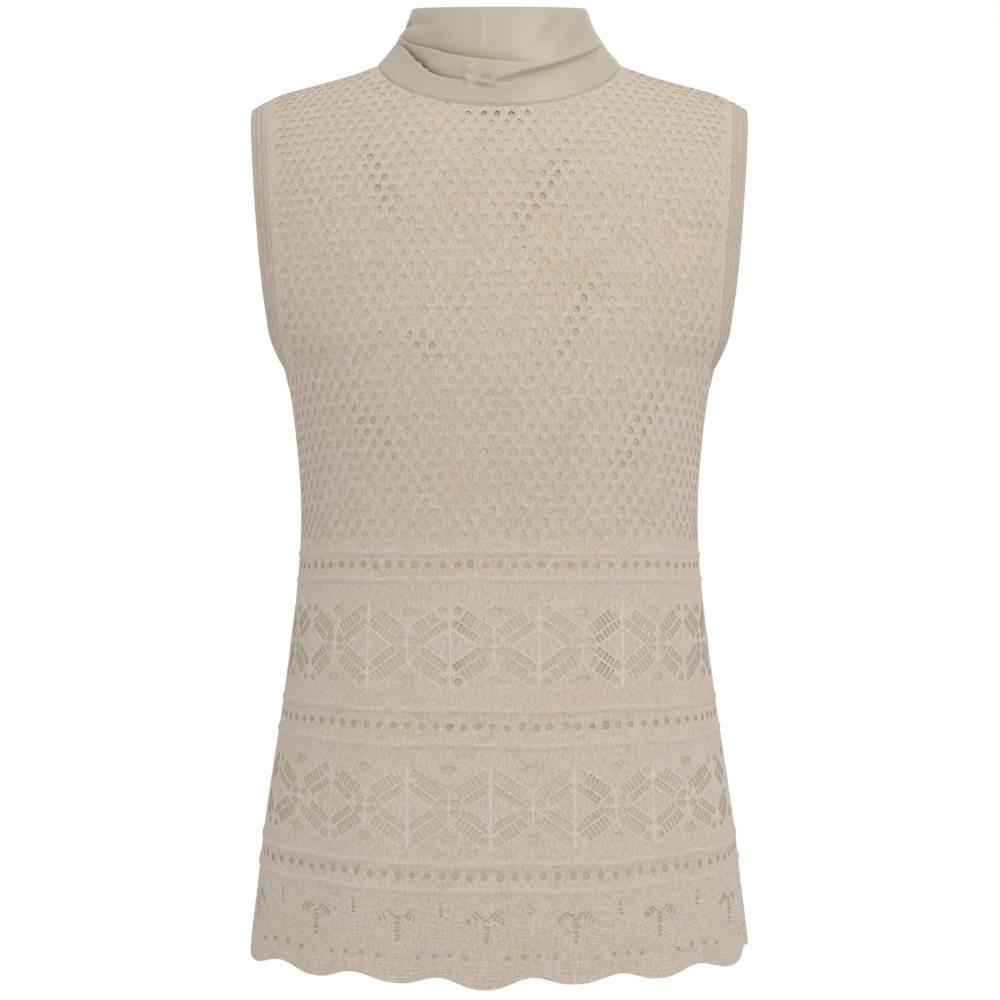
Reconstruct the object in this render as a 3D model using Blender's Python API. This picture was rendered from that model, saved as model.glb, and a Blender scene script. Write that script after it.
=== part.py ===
"""Sleeveless openwork knit top with a draped satin collar, worn hollow.

Run in Blender 4.5. Metres, +Z up, front faces -Y. The origin is the middle of the neck base.
A panel is drawn flat, by distances across from the centre line and up from the origin's level,
and then laid on the body surface.
"""
import math

import bpy
import numpy as np
from mathutils import Vector
from mathutils.geometry import delaunay_2d_cdt

FRONT = -1
BACK = 1

# Walls and seams
KNIT_WALL = 0.0016
LINING_WALL = 0.0010
LINING_GAP = 0.0018
COLLAR_WALL = 0.0015
TRIM_WALL = 0.0018
SEAM_GAP = 0.0003

# Body surface: the worn form, from its cut on a general figure
BODY_SECTIONS = (
    # height, half width, front depth, back depth
    (-0.6100, 0.1668, 0.1270, 0.1200),
    (-0.5897, 0.1653, 0.1260, 0.1190),
    (-0.5495, 0.1606, 0.1235, 0.1165),
    (-0.5173, 0.1570, 0.1210, 0.1140),
    (-0.4851, 0.1526, 0.1180, 0.1110),
    (-0.4529, 0.1476, 0.1145, 0.1075),
    (-0.4208, 0.1429, 0.1110, 0.1035),
    (-0.3886, 0.1389, 0.1075, 0.0995),
    (-0.3564, 0.1350, 0.1040, 0.0960),
    (-0.3200, 0.1323, 0.1035, 0.0940),
    (-0.2921, 0.1323, 0.1060, 0.0945),
    (-0.2599, 0.1347, 0.1100, 0.0965),
    (-0.2278, 0.1387, 0.1125, 0.0985),
    (-0.2088, 0.1425, 0.1120, 0.0990),
    (-0.1991, 0.1464, 0.1110, 0.0990),
    (-0.1920, 0.1487, 0.1100, 0.0990),
    (-0.1774, 0.1506, 0.1070, 0.0990),
    (-0.1468, 0.1541, 0.1010, 0.0980),
    (-0.1150, 0.1573, 0.0930, 0.0960),
    (-0.0817, 0.1608, 0.0840, 0.0930),
    (-0.0643, 0.1627, 0.0790, 0.0910),
    (-0.0451, 0.1649, 0.0720, 0.0880),
    (-0.0300, 0.1662, 0.0690, 0.0860),
    (0.0100, 0.1680, 0.0650, 0.0830),
)
SHOULDER_LINE = (
    # distance from centre, height
    (0.0808, -0.0026),
    (0.0975, -0.0086),
    (0.1190, -0.0147),
    (0.1511, -0.0242),
    (0.1700, -0.0345),
)
SHOULDER_Y = 0.008
SHOULDER_ROUNDING = 0.100
SHOULDER_SHARPNESS = 1.8
SHOULDER_REACH = 0.080
SHOULDER_PATH_STEPS = 200
SECTION_SQUARENESS = 2.3
SECTION_STEPS = 41
LAY_ROUNDS = 5

# Neck
NECK_HALF_WIDTH = 0.0808
NECK_RISE = 0.0145
NECK_POINT_Z = SHOULDER_LINE[0][1]
FRONT_NECK_DROP = 0.0415
BACK_NECK_DROP = 0.0040
NECK_STEPS = 12
SHOULDER_STEPS = 6
SIDE_SEAM_STEPS = 20

# Armholes and their trims
UNDERARM_Z = -0.2088
ARMHOLE_CURVE_HEIGHT = 0.070
ARMHOLE_CUT_ANGLE = math.radians(31.0)
ARMHOLE_TOP_Z = -0.033
ARMHOLE_CURVE_STEPS = 9
ARMHOLE_STRAIGHT_STEPS = 9
TRIM_WIDTH = 0.0130
TRIM_SHOULDER_SHARE = 0.95
TRIM_RIBS = 3
TRIM_RIB_HEIGHT = 0.0007

# Soft folds that the lower body hangs in
DRAPE_FOLDS = (
    # side, place (share of the half girth), half spread, how far out, height of top, full depth at
    (FRONT, -0.74, 0.17, 0.0034, -0.400, -0.560),
    (FRONT, -0.40, 0.13, 0.0022, -0.350, -0.500),
    (FRONT, -0.10, 0.11, 0.0018, -0.460, -0.590),
    (FRONT, 0.30, 0.14, 0.0026, -0.430, -0.570),
    (FRONT, 0.68, 0.16, 0.0032, -0.390, -0.550),
    (BACK, -0.66, 0.15, 0.0030, -0.380, -0.550),
    (BACK, -0.25, 0.14, 0.0024, -0.420, -0.580),
    (BACK, 0.12, 0.12, 0.0018, -0.440, -0.590),
    (BACK, 0.47, 0.16, 0.0028, -0.400, -0.560),
    (BACK, 0.78, 0.14, 0.0026, -0.370, -0.530),
)

# Knit pattern
MOTIFS_PER_PANEL = 8
MOTIF_SEARCH_STEPS = 201
HEM_Z = -0.5945
HEM_LOBE_DEPTH = 0.0055
HEM_LOBE_FULLNESS = 1.3
HEM_CENTRE_DROP = 0.0030
HEM_CENTRE_WIDTH = 0.030
HEM_STEPS_PER_LOBE = 8
BELTS = (
    # height between its welts, distance between them
    (-0.3389, 0.0186),
    (-0.4393, 0.0215),
    (-0.5303, 0.0160),
)
SIDE_LIFT = (
    # height, how much higher a knit row lies at the sides than in the middle
    (-0.6000, 0.0030),
    (-0.5303, 0.0100),
    (-0.4393, 0.0060),
    (-0.3389, 0.0000),
    (-0.3000, 0.0000),
)
WELT_WIDTH = 0.0060
WELT_HEIGHT = 0.0012
WELT_STEPS = 22
LACE_GAP_WIDTH = 0.0087
LACE_GAP_HEIGHT = 0.0054
LACE_GAP_SIDES = 8
LACE_BANDS = (
    # upper gap row, lower gap row, first gap in motifs from the centre line
    (-0.3674, -0.4099, 0.0),
    (-0.4647, -0.5068, 0.5),
)
GATHERING = (
    # height, how much closer the motifs are in the middle than at the sides
    (-0.6000, 0.080),
    (-0.4880, 0.100),
    (-0.3885, -0.040),
    (-0.3389, -0.040),
)
FILL_SPACING = 0.0230
FILL_CLEARANCE = 0.0060
STAGGER = 0.866

# Lining
LINING_HEM_Z = -0.5780
LINING_NECK_DROP = 0.0030
LINING_SPACING = 0.0300
LINING_CLEARANCE = 0.0080
LINING_HEM_STEPS = 10
LINING_SEAM_STEPS = 16

# Collar
COLLAR_STEPS = 48
COLLAR_BAND_ROWS = 3
COLLAR_ROLL_ROWS = 10
COLLAR_TOP_HALF_WIDTH = 0.0581
COLLAR_TOP_HALF_DEPTH = 0.0490
COLLAR_TOP_FRONT_Z = 0.0223
COLLAR_TOP_SIDE_Z = 0.0336
COLLAR_TOP_BACK_Z = 0.0370
COLLAR_HOLLOW = 0.0035
COLLAR_SEAM_SHARE = 0.020
COLLAR_GAP_SHARE = 0.008
BAND_TOP_FRONT_Z = -0.0256
BAND_TOP_SIDE_Z = 0.0066
BAND_TOP_BACK_Z = 0.0120
COLLAR_FOLDS = (
    # angle from the front, half spread, place up the roll, half height, how far it stands out
    (-55.0, 40.0, 0.16, 0.15, 0.0026),
    (-10.0, 45.0, 0.16, 0.17, 0.0030),
    (45.0, 40.0, 0.14, 0.20, 0.0034),
    (62.0, 35.0, 0.62, 0.16, 0.0014),
    (-78.0, 20.0, 0.66, 0.12, 0.0018),
    (150.0, 60.0, 0.20, 0.20, 0.0024),
)

SHARP_EDGE_ANGLE = math.radians(50)

COLOURS = {
    # name: colour, roughness
    "knit": ((0.630, 0.552, 0.447, 1.0), 0.92),
    "rib": ((0.600, 0.522, 0.420, 1.0), 0.92),
    "lining": ((0.540, 0.450, 0.330, 1.0), 0.55),
    "satin": ((0.600, 0.530, 0.400, 1.0), 0.42),
}


def smooth(table, column, at):
    """Read a column of a table between its rows, by a cubic through them."""
    keys = np.array([row[0] for row in table])
    values = np.array([row[column] for row in table])
    slopes = np.gradient(values, keys)
    at = np.clip(at, keys[0], keys[-1])
    row = np.clip(np.searchsorted(keys, at) - 1, 0, len(keys) - 2)
    span = keys[row + 1] - keys[row]
    t = (at - keys[row]) / span
    start = values[row] * (1 + 2 * t) + slopes[row] * span * t
    end = values[row + 1] * (3 - 2 * t) - slopes[row + 1] * span * (1 - t)
    return start * (1 - t) ** 2 + end * t ** 2


def shoulder_height(x):
    """Height of the ridge where front and back meet, level with the neck's own rise inside it."""
    x = np.abs(x)
    inside = NECK_POINT_Z + NECK_RISE * (1 - (x / NECK_HALF_WIDTH) ** 2)
    return np.where(x < NECK_HALF_WIDTH, inside, smooth(SHOULDER_LINE, 1, x))


def shoulder_closing(drop):
    """How far the surface has come out from the ridge at a drop below it, 0 to 1."""
    t = 1 - np.clip(drop / SHOULDER_ROUNDING, 0, 1)
    return (1 - t ** SHOULDER_SHARPNESS) ** (1 / SHOULDER_SHARPNESS)


def shoulder_path():
    """Drops below the ridge, and the distance down the cloth to each."""
    drop = SHOULDER_ROUNDING * np.linspace(0, 1, SHOULDER_PATH_STEPS) ** 2
    out = SHOULDER_REACH * shoulder_closing(drop)
    path = np.concatenate([[0], np.cumsum(np.hypot(np.diff(drop), np.diff(out)))])
    return np.append(drop, drop[-1] + 1), np.append(path, path[-1] + 1)


DROP, PATH = shoulder_path()
SHOULDER_EXTRA = PATH[-1] - DROP[-1]


def armhole_angle(height):
    """Where the section stops: 90 degrees at the side seam, less beside the armhole."""
    rise = np.clip((height - UNDERARM_Z) / ARMHOLE_CURVE_HEIGHT, 0, 1)
    return math.pi / 2 - ARMHOLE_CUT_ANGLE * np.sqrt(1 - (1 - rise) ** 2)


def full_half_width(height):
    """Half width of the whole section, which the armhole cuts short."""
    return smooth(BODY_SECTIONS, 1, height) / np.sin(armhole_angle(height)) ** (2 / SECTION_SQUARENESS)


def depth(x, height, side):
    """The surface's Y at a distance from the centre line and a height."""
    share = np.clip(np.abs(x) / full_half_width(height), 0, 1)
    reach = smooth(BODY_SECTIONS, 2 if side == FRONT else 3, height)
    out = side * reach * (1 - share ** SECTION_SQUARENESS) ** (1 / SECTION_SQUARENESS)
    return SHOULDER_Y + (out - SHOULDER_Y) * shoulder_closing(shoulder_height(x) - height)


def section(height, side):
    """Half sections at some heights: X and the distance run from the centre line."""
    steps = np.linspace(0, 1, SECTION_STEPS)
    angle = armhole_angle(height)[:, None] * steps
    x = full_half_width(height)[:, None] * np.sin(angle) ** (2 / SECTION_SQUARENESS)
    y = depth(x, height[:, None], side)
    run = np.cumsum(np.hypot(np.diff(x, axis=1), np.diff(y, axis=1)), axis=1)
    return x, np.concatenate([np.zeros((len(height), 1)), run], axis=1)


def read_rows(at, keys, values):
    """In each row, the value at one key."""
    column = np.clip((keys < at[:, None]).sum(axis=1) - 1, 0, keys.shape[1] - 2)
    row = np.arange(len(at))
    span = keys[row, column + 1] - keys[row, column]
    share = np.clip((at - keys[row, column]) / span, 0, 1)
    return values[row, column] * (1 - share) + values[row, column + 1] * share


def half_girth(height, side):
    """Distance round the surface from the centre line to the edge."""
    return section(np.atleast_1d(height), side)[1][:, -1]


def drape(across_share, height, side):
    """How far the soft folds of the lower body stand out."""
    out = np.zeros_like(height)
    for fold_side, place, spread, reach, top, deep in DRAPE_FOLDS:
        if fold_side != side:
            continue
        near_fold = np.clip(1 - ((across_share - place) / spread) ** 2, 0, 1)
        growth = np.clip((top - height) / (top - deep), 0, 1)
        out += reach * near_fold ** 2 * growth * growth * (3 - 2 * growth)
    return out


def lay(points, side):
    """Lay flat points, each a distance across and a distance up, on the body surface."""
    across, up = np.asarray(points, dtype=float).T
    height = up.copy()
    for _ in range(LAY_ROUNDS):
        x, run = section(height, side)
        x = read_rows(np.abs(across), run, x)
        ridge = shoulder_height(x)
        height = ridge - np.interp(ridge + SHOULDER_EXTRA - up, PATH, DROP)
    x = x * np.sign(across)
    y = depth(x, height, side)
    out = drape(across / run[:, -1], height, side) / np.hypot(x, y)
    return np.stack([x * (1 + out), y * (1 + out), height], axis=1)


def flat_place(x, height, side):
    """The flat point that lies at a distance from the centre line and a height."""
    sections, run = section(height, side)
    across = read_rows(x, sections, run)
    ridge = shoulder_height(x)
    up = ridge + SHOULDER_EXTRA - np.interp(ridge - height, DROP, PATH)
    return np.stack([across, up], axis=1)


def armhole_edge(side):
    """The armhole's free edge on the flat panel, from the underarm to the shoulder."""
    curve = 1 - np.cos(np.linspace(0, math.pi / 2, ARMHOLE_CURVE_STEPS))
    curve = UNDERARM_Z + ARMHOLE_CURVE_HEIGHT * curve
    top = smooth(SHOULDER_LINE, 1, smooth(BODY_SECTIONS, 1, ARMHOLE_TOP_Z))
    straight = np.linspace(curve[-1], top, ARMHOLE_STRAIGHT_STEPS + 1)[1:]
    height = np.concatenate([curve, straight])
    x = smooth(BODY_SECTIONS, 1, height)
    edge = flat_place(x, height, side)
    edge[:, 0] = half_girth(height, side)
    return edge


def armhole_inset(side, distance):
    """The armhole's edge moved into the panel, its last point kept on the shoulder line."""
    edge = armhole_edge(side)
    tangent = np.gradient(edge, axis=0)
    tangent[0] = (-1, 0)
    tangent /= np.linalg.norm(tangent, axis=1)[:, None]
    inset = edge + distance * np.stack([-tangent[:, 1], tangent[:, 0]], axis=1)
    end = smooth(BODY_SECTIONS, 1, ARMHOLE_TOP_Z) - distance * TRIM_SHOULDER_SHARE
    inset[-1] = flat_place(np.array([end]), shoulder_height(np.array([end])), side)[0]
    inset[0, 0] = half_girth(inset[0, 1], side)[0]
    return inset


def motif_phase(across, height, side):
    """Which motif a flat point is in: 0 on the centre line, whole numbers on hem lobes."""
    share = across / half_girth(height, side)
    gather = smooth(GATHERING, 1, height)
    return MOTIFS_PER_PANEL / 2 * (share * (1 + gather) - gather * share ** 3)


def motif_across(phase, height, side):
    """The distance from the centre line at which a motif lies."""
    girth = half_girth(height, side)[0]
    across = girth * np.linspace(-1, 1, MOTIF_SEARCH_STEPS)
    heights = np.full(MOTIF_SEARCH_STEPS, height)
    return np.interp(phase, motif_phase(across, heights, side), across)


def lifted(across, height, side):
    """A knit row's height where it passes a distance across, from its height in the middle."""
    lift = smooth(SIDE_LIFT, 1, height)
    return height + lift * (across / half_girth(height, side)) ** 2


def hem_height(across, side):
    """Height of the scalloped hem."""
    phase = motif_phase(across, np.full(len(across), HEM_Z), side)
    wave = ((1 - np.cos(2 * math.pi * phase)) / 2) ** HEM_LOBE_FULLNESS
    drop = HEM_CENTRE_DROP * np.exp(-(across / HEM_CENTRE_WIDTH) ** 2)
    return lifted(across, HEM_Z, side) + HEM_LOBE_DEPTH * wave - drop


def neckline(side, steps, lower=0.0):
    """Half of the neckline on the flat panel, from the neck point to the centre line."""
    turn = np.linspace(0, math.pi / 2, steps)
    drop = (FRONT_NECK_DROP if side == FRONT else BACK_NECK_DROP) + lower
    x = NECK_HALF_WIDTH * np.cos(turn) + lower * (1 - np.sin(turn))
    height = shoulder_height(NECK_HALF_WIDTH + lower) - drop * np.sin(turn)
    return flat_place(x, np.minimum(height, shoulder_height(x)), side)


def half_outline(side, hem, trim_gap, neck_lower, seam_steps):
    """Right half of a panel's outline, from the centre of the hem to the centre of the neck."""
    armhole = armhole_inset(side, trim_gap)
    low = hem[-1, 1]
    heights = np.linspace(low, armhole[0, 1], seam_steps)[1:-1]
    seam = np.stack([half_girth(heights, side), heights], axis=1)
    neck = neckline(side, NECK_STEPS, neck_lower)
    ends = np.array([lay(armhole[-1:], side)[0, 0], lay(neck[:1], side)[0, 0]])
    x = np.linspace(ends[0], ends[1], SHOULDER_STEPS)[1:-1]
    shoulder = flat_place(x, shoulder_height(x), side)
    return np.concatenate([hem, seam, armhole, shoulder, neck])


def mirrored(half):
    """A closed outline from its right half, whose two ends lie on the centre line."""
    left = half[1:-1][::-1] * (-1, 1)
    return np.concatenate([half, left])


def inside(points, outline):
    """Whether each flat point lies inside a closed outline."""
    x, y = points.T
    result = np.zeros(len(points), dtype=bool)
    for (x0, y0), (x1, y1) in zip(outline, np.roll(outline, -1, axis=0)):
        crosses = (y0 > y) != (y1 > y)
        rise = y1 - y0 if y1 != y0 else 1.0
        result ^= crosses & (x < (x1 - x0) * (y - y0) / rise + x0)
    return result


def near(points, others, distance):
    """Whether each flat point is within a distance of any of the others."""
    gap = np.linalg.norm(points[:, None] - others[None], axis=2)
    return gap.min(axis=1) < distance


def fill_points(outline, spacing, taken, clearance):
    """Points spread over a panel in staggered rows, clear of what is drawn on it."""
    low, high = outline.min(axis=0), outline.max(axis=0)
    rows = []
    for index, up in enumerate(np.arange(low[1], high[1], spacing * STAGGER)):
        across = np.arange(low[0], high[0], spacing) + (index % 2) * spacing / 2
        rows.append(np.stack([across, np.full(len(across), up)], axis=1))
    points = np.concatenate(rows)
    points = points[inside(points, outline)]
    return points[~near(points, taken, clearance)]


def resample(outline, spacing):
    """Points along a closed outline, close enough together to keep others clear of it."""
    pieces = []
    for start, end in zip(outline, np.roll(outline, -1, axis=0)):
        count = max(1, int(np.linalg.norm(end - start) / spacing))
        pieces.append(start + (end - start) * np.linspace(0, 1, count, endpoint=False)[:, None])
    return np.concatenate(pieces)


def triangulate(outline, holes, lines, loose):
    """Triangles over a flat panel, with its holes left out and its lines as edges."""
    points, edges = [], []
    for loop, closed in [(outline, True)] + [(h, True) for h in holes] + [(l, False) for l in lines]:
        first = len(points)
        points += [Vector(p) for p in loop]
        edges += [(first + i, first + i + 1) for i in range(len(loop) - 1)]
        if closed:
            edges.append((first + len(loop) - 1, first))
    points += [Vector(p) for p in loose]
    flat, _, triangles, *_ = delaunay_2d_cdt(points, edges, [], 0, 1e-7)
    flat = np.array([tuple(p) for p in flat])
    triangles = np.array([t for t in triangles])
    middle = flat[triangles].mean(axis=1)
    keep = inside(middle, outline)
    for hole in holes:
        keep &= ~inside(middle, hole)
    triangles = triangles[keep]
    used, triangles = np.unique(triangles, return_inverse=True)
    return flat[used], triangles.reshape(-1, 3)


def point_normals(points, triangles):
    """Normals of a sheet at its points, weighted by the triangles' areas."""
    a, b, c = (points[triangles[:, i]] for i in range(3))
    face = np.cross(b - a, c - a)
    normals = np.zeros_like(points)
    for corner in range(3):
        np.add.at(normals, triangles[:, corner], face)
    return normals / np.linalg.norm(normals, axis=1)[:, None]


def material(name, colour_name):
    colour, roughness = COLOURS[colour_name]
    result = bpy.data.materials.new(name)
    result.use_nodes = True
    shader = result.node_tree.nodes["Principled BSDF"]
    shader.inputs["Base Color"].default_value = colour
    shader.inputs["Roughness"].default_value = roughness
    result.diffuse_color = colour
    return result


def add_object(name, points, faces, colour_name):
    mesh = bpy.data.meshes.new(name)
    mesh.from_pydata([tuple(p) for p in points], [], [tuple(int(i) for i in f) for f in faces])
    mesh.validate()
    mesh.shade_smooth()
    mesh.set_sharp_from_angle(angle=SHARP_EDGE_ANGLE)
    mesh.materials.append(material(name, colour_name))
    result = bpy.data.objects.new(name, mesh)
    bpy.context.collection.objects.link(result)
    return result


def add_wall(name, outer, inner, triangles, colour_name):
    """A closed wall between two sheets of the same triangles."""
    count = len(outer)
    seen = {}
    for triangle in triangles:
        for start, end in zip(triangle, np.roll(triangle, -1)):
            seen[(int(start), int(end))] = True
    faces = [tuple(t) for t in triangles] + [tuple(t[::-1] + count) for t in triangles]
    for start, end in seen:
        if (end, start) not in seen:
            faces.append((start, start + count, end + count, end))
    return add_object(name, np.concatenate([outer, inner]), faces, colour_name)


def add_panel(name, side, flat, triangles, raised, inset, wall, colour_name):
    """A wall laid on the body surface, its outer points raised, set in by a distance."""
    if side == BACK:
        triangles = triangles[:, ::-1]
    surface = lay(flat, side)
    normals = point_normals(surface, triangles)
    at_side = np.abs(flat[:, 0]) > half_girth(flat[:, 1], side) - SEAM_GAP
    ridge = shoulder_height(surface[:, 0]) - surface[:, 2] < SEAM_GAP
    seam = (at_side & (flat[:, 1] < UNDERARM_Z)) | ridge
    normals[seam, 1] = 0
    normals /= np.linalg.norm(normals, axis=1)[:, None]
    surface[:, 1] += side * SEAM_GAP / 2
    outer = surface - (inset - raised)[:, None] * normals
    inner = surface - (inset + wall) * normals
    return add_wall(name, outer, inner, triangles, colour_name)


def lace_gaps(side):
    """The gaps between diamonds that are cut through the lace bands."""
    turn = 2 * math.pi * (np.arange(LACE_GAP_SIDES) + 0.5) / LACE_GAP_SIDES
    oval = np.stack([LACE_GAP_WIDTH / 2 * np.cos(turn), LACE_GAP_HEIGHT / 2 * np.sin(turn)], axis=1)
    gaps = []
    for upper, lower, first in LACE_BANDS:
        for height in (upper, lower):
            edge = half_girth(height, side)[0] - LACE_GAP_WIDTH
            for phase in np.arange(-MOTIFS_PER_PANEL, MOTIFS_PER_PANEL) + first:
                across = motif_across(phase, height, side)
                if abs(across) < edge:
                    gaps.append(oval + (across, lifted(across, height, side)[0]))
    return gaps


def welt_lines(side):
    """Lines along both welts of each belt, and how far each line is raised."""
    lines, raised = [], []
    for belt, spacing in BELTS:
        for place, height in ((spacing + WELT_WIDTH, 0), (spacing, WELT_HEIGHT), (0, 0),
                              (-spacing, WELT_HEIGHT), (-spacing - WELT_WIDTH, 0)):
            level = belt + place / 2
            reach = half_girth(level, side)[0] - 4 * SEAM_GAP
            across = np.linspace(-reach, reach, WELT_STEPS + 1)
            lines.append(np.stack([across, lifted(across, level, side)], axis=1))
            raised.append(height)
    return lines, raised


def build_knit_panel(name, side):
    across = half_girth(HEM_Z, side)[0] * np.linspace(0, 1, 4 * HEM_STEPS_PER_LOBE + 1)
    hem = np.stack([across, hem_height(across, side)], axis=1)
    outline = mirrored(half_outline(side, hem, TRIM_WIDTH + SEAM_GAP, 0.0, SIDE_SEAM_STEPS))
    gaps = lace_gaps(side)
    lines, heights = welt_lines(side)
    taken = np.concatenate([resample(outline, FILL_CLEARANCE)] + gaps
                           + [resample(line, FILL_CLEARANCE) for line in lines])
    loose = fill_points(outline, FILL_SPACING, taken, FILL_CLEARANCE)
    flat, triangles = triangulate(outline, gaps, lines, loose)
    raised = np.zeros(len(flat))
    for line, height in zip(lines, heights):
        raised[near(flat, line, SEAM_GAP)] = height
    return add_panel(name, side, flat, triangles, raised, 0.0, KNIT_WALL, "knit")


def build_lining_panel(name, side):
    reach = half_girth(LINING_HEM_Z, side)[0]
    across = np.linspace(0, reach, LINING_HEM_STEPS)
    hem = np.stack([across, np.full(len(across), LINING_HEM_Z)], axis=1)
    trim_gap = TRIM_WIDTH + 2 * SEAM_GAP
    outline = mirrored(half_outline(side, hem, trim_gap, LINING_NECK_DROP, LINING_SEAM_STEPS))
    edge = resample(outline, FILL_CLEARANCE)
    loose = fill_points(outline, LINING_SPACING, edge, LINING_CLEARANCE)
    flat, triangles = triangulate(outline, [], [], loose)
    raised = np.zeros(len(flat))
    inset = KNIT_WALL + LINING_GAP
    return add_panel(name, side, flat, triangles, raised, inset, LINING_WALL, "lining")


def loop_faces(rows, columns):
    """Triangles over a grid of rows whose columns close on themselves."""
    faces = []
    for row in range(rows - 1):
        for column in range(columns):
            a = row * columns + column
            b = row * columns + (column + 1) % columns
            faces += [(a, b, b + columns), (a, b + columns, a + columns)]
    return np.array(faces)


def build_trim(name, hand):
    """A ribbed band round an armhole, from the panels' edges to its free edge."""
    steps = 2 * TRIM_RIBS
    rows = []
    for step in range(steps + 1):
        distance = TRIM_WIDTH * (1 - step / steps)
        front = lay(armhole_inset(FRONT, distance), FRONT)
        back = lay(armhole_inset(BACK, distance), BACK)
        loop = np.concatenate([front, back[1:-1][::-1]])
        loop[0] = (front[0] + back[0]) / 2
        rows.append(loop)
    surface = np.concatenate(rows) * (hand, 1, 1)
    triangles = loop_faces(steps + 1, len(rows[0]))
    if hand > 0:
        triangles = triangles[:, ::-1]
    normals = point_normals(surface, triangles)
    raised = np.repeat([TRIM_RIB_HEIGHT * (step % 2) for step in range(steps + 1)], len(rows[0]))
    outer = surface + raised[:, None] * normals
    inner = surface - TRIM_WALL * normals
    return add_wall(name, outer, inner, triangles, "rib")


def around(angle, front, side_value, back):
    """A value that goes smoothly round the neck, from its values in front, at the sides and behind."""
    facing = np.cos(angle)
    end = np.where(facing > 0, front, back)
    return side_value + (end - side_value) * np.abs(facing)


def collar_base(angle):
    """The ring that the collar is sewn to, on the panels' necklines."""
    x = NECK_HALF_WIDTH * np.sin(angle)
    facing = np.cos(angle)
    front = NECK_POINT_Z - FRONT_NECK_DROP * np.abs(facing)
    back = NECK_POINT_Z - BACK_NECK_DROP * np.abs(facing)
    y = np.where(facing > 0, depth(x, front, FRONT), depth(x, back, BACK))
    return np.stack([x, y, np.where(facing > 0, front, back)], axis=1)


def collar_top(angle):
    height = around(angle, COLLAR_TOP_FRONT_Z, COLLAR_TOP_SIDE_Z, COLLAR_TOP_BACK_Z)
    x = COLLAR_TOP_HALF_WIDTH * np.sin(angle)
    return np.stack([x, -COLLAR_TOP_HALF_DEPTH * np.cos(angle), height], axis=1)


def collar_point(angle, share):
    """A point of the collar between its base, share 0, and its top, share 1."""
    base, top = collar_base(angle), collar_top(angle)
    point = base + (top - base) * share[:, None]
    hollow = 4 * share * (1 - share) * COLLAR_HOLLOW * np.abs(np.sin(angle))
    point[:, 0] -= hollow * np.sin(angle)
    return point


def band_share(angle):
    """How far up the collar its lower band reaches."""
    base, top = collar_base(angle)[:, 2], collar_top(angle)[:, 2]
    edge = around(angle, BAND_TOP_FRONT_Z, BAND_TOP_SIDE_Z, BAND_TOP_BACK_Z)
    return (edge - base) / (top - base)


def fold_relief(angle, share):
    """How far the roll's folds stand out."""
    relief = np.zeros_like(angle)
    for centre, spread, place, height, out in COLLAR_FOLDS:
        turn = (np.degrees(angle) - centre + 180) % 360 - 180
        along = np.clip(1 - (turn / spread) ** 2, 0, 1)
        up = np.clip(1 - ((share - place) / height) ** 2, 0, 1)
        relief = np.maximum(relief, out * along * up)
    return relief


def build_collar_part(name, rows, low, high, folded):
    angle = 2 * math.pi * np.arange(COLLAR_STEPS) / COLLAR_STEPS
    shares = np.linspace(0, 1, rows + 1)
    grid_angle = np.tile(angle, rows + 1)
    grid_share = np.repeat(shares, COLLAR_STEPS)
    start, end = low(grid_angle), high(grid_angle)
    surface = collar_point(grid_angle, start + (end - start) * grid_share)
    triangles = loop_faces(rows + 1, COLLAR_STEPS)
    normals = point_normals(surface, triangles)
    raised = fold_relief(grid_angle, grid_share) if folded else np.zeros(len(surface))
    outer = surface + raised[:, None] * normals
    inner = surface - COLLAR_WALL * normals
    return add_wall(name, outer, inner, triangles, "satin")


def build_collar():
    build_collar_part("collar_band", COLLAR_BAND_ROWS, lambda a: np.full_like(a, COLLAR_SEAM_SHARE),
                      lambda a: band_share(a) - COLLAR_GAP_SHARE, False)
    build_collar_part("collar_roll", COLLAR_ROLL_ROWS, lambda a: band_share(a) + COLLAR_GAP_SHARE,
                      np.ones_like, True)


def main():
    for old in list(bpy.data.objects):
        bpy.data.objects.remove(old)
    build_knit_panel("knit_front", FRONT)
    build_knit_panel("knit_back", BACK)
    build_lining_panel("lining_front", FRONT)
    build_lining_panel("lining_back", BACK)
    build_trim("armhole_trim_left", -1)
    build_trim("armhole_trim_right", 1)
    build_collar()


main()
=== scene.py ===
"""Sleeveless openwork knit top with a draped satin collar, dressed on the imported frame."""
import math

import bpy
import numpy as np
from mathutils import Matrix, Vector
from mathutils.geometry import delaunay_2d_cdt
from mathutils.kdtree import KDTree


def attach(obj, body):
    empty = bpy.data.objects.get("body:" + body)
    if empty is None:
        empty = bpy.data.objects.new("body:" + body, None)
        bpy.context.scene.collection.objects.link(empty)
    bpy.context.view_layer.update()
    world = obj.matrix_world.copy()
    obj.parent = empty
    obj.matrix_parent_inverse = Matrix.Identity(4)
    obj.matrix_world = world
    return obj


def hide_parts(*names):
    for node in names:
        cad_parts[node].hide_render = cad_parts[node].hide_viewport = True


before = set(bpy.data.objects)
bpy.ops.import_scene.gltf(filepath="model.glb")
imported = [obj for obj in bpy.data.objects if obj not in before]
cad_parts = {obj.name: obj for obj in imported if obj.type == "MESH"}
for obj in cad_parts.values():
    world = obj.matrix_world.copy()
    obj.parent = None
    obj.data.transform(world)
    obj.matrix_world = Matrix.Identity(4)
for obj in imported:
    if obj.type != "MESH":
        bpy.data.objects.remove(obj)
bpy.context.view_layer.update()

bl_info = {
    "name": "Openwork Knit Top",
    "version": (1, 0, 0),
    "blender": (4, 5, 0),
    "location": "View3D > Sidebar > Knit Top",
    "description": "Builds a sleeveless openwork knit top with a draped satin collar",
    "category": "Object",
}

FRONT = -1
BACK = 1

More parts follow.
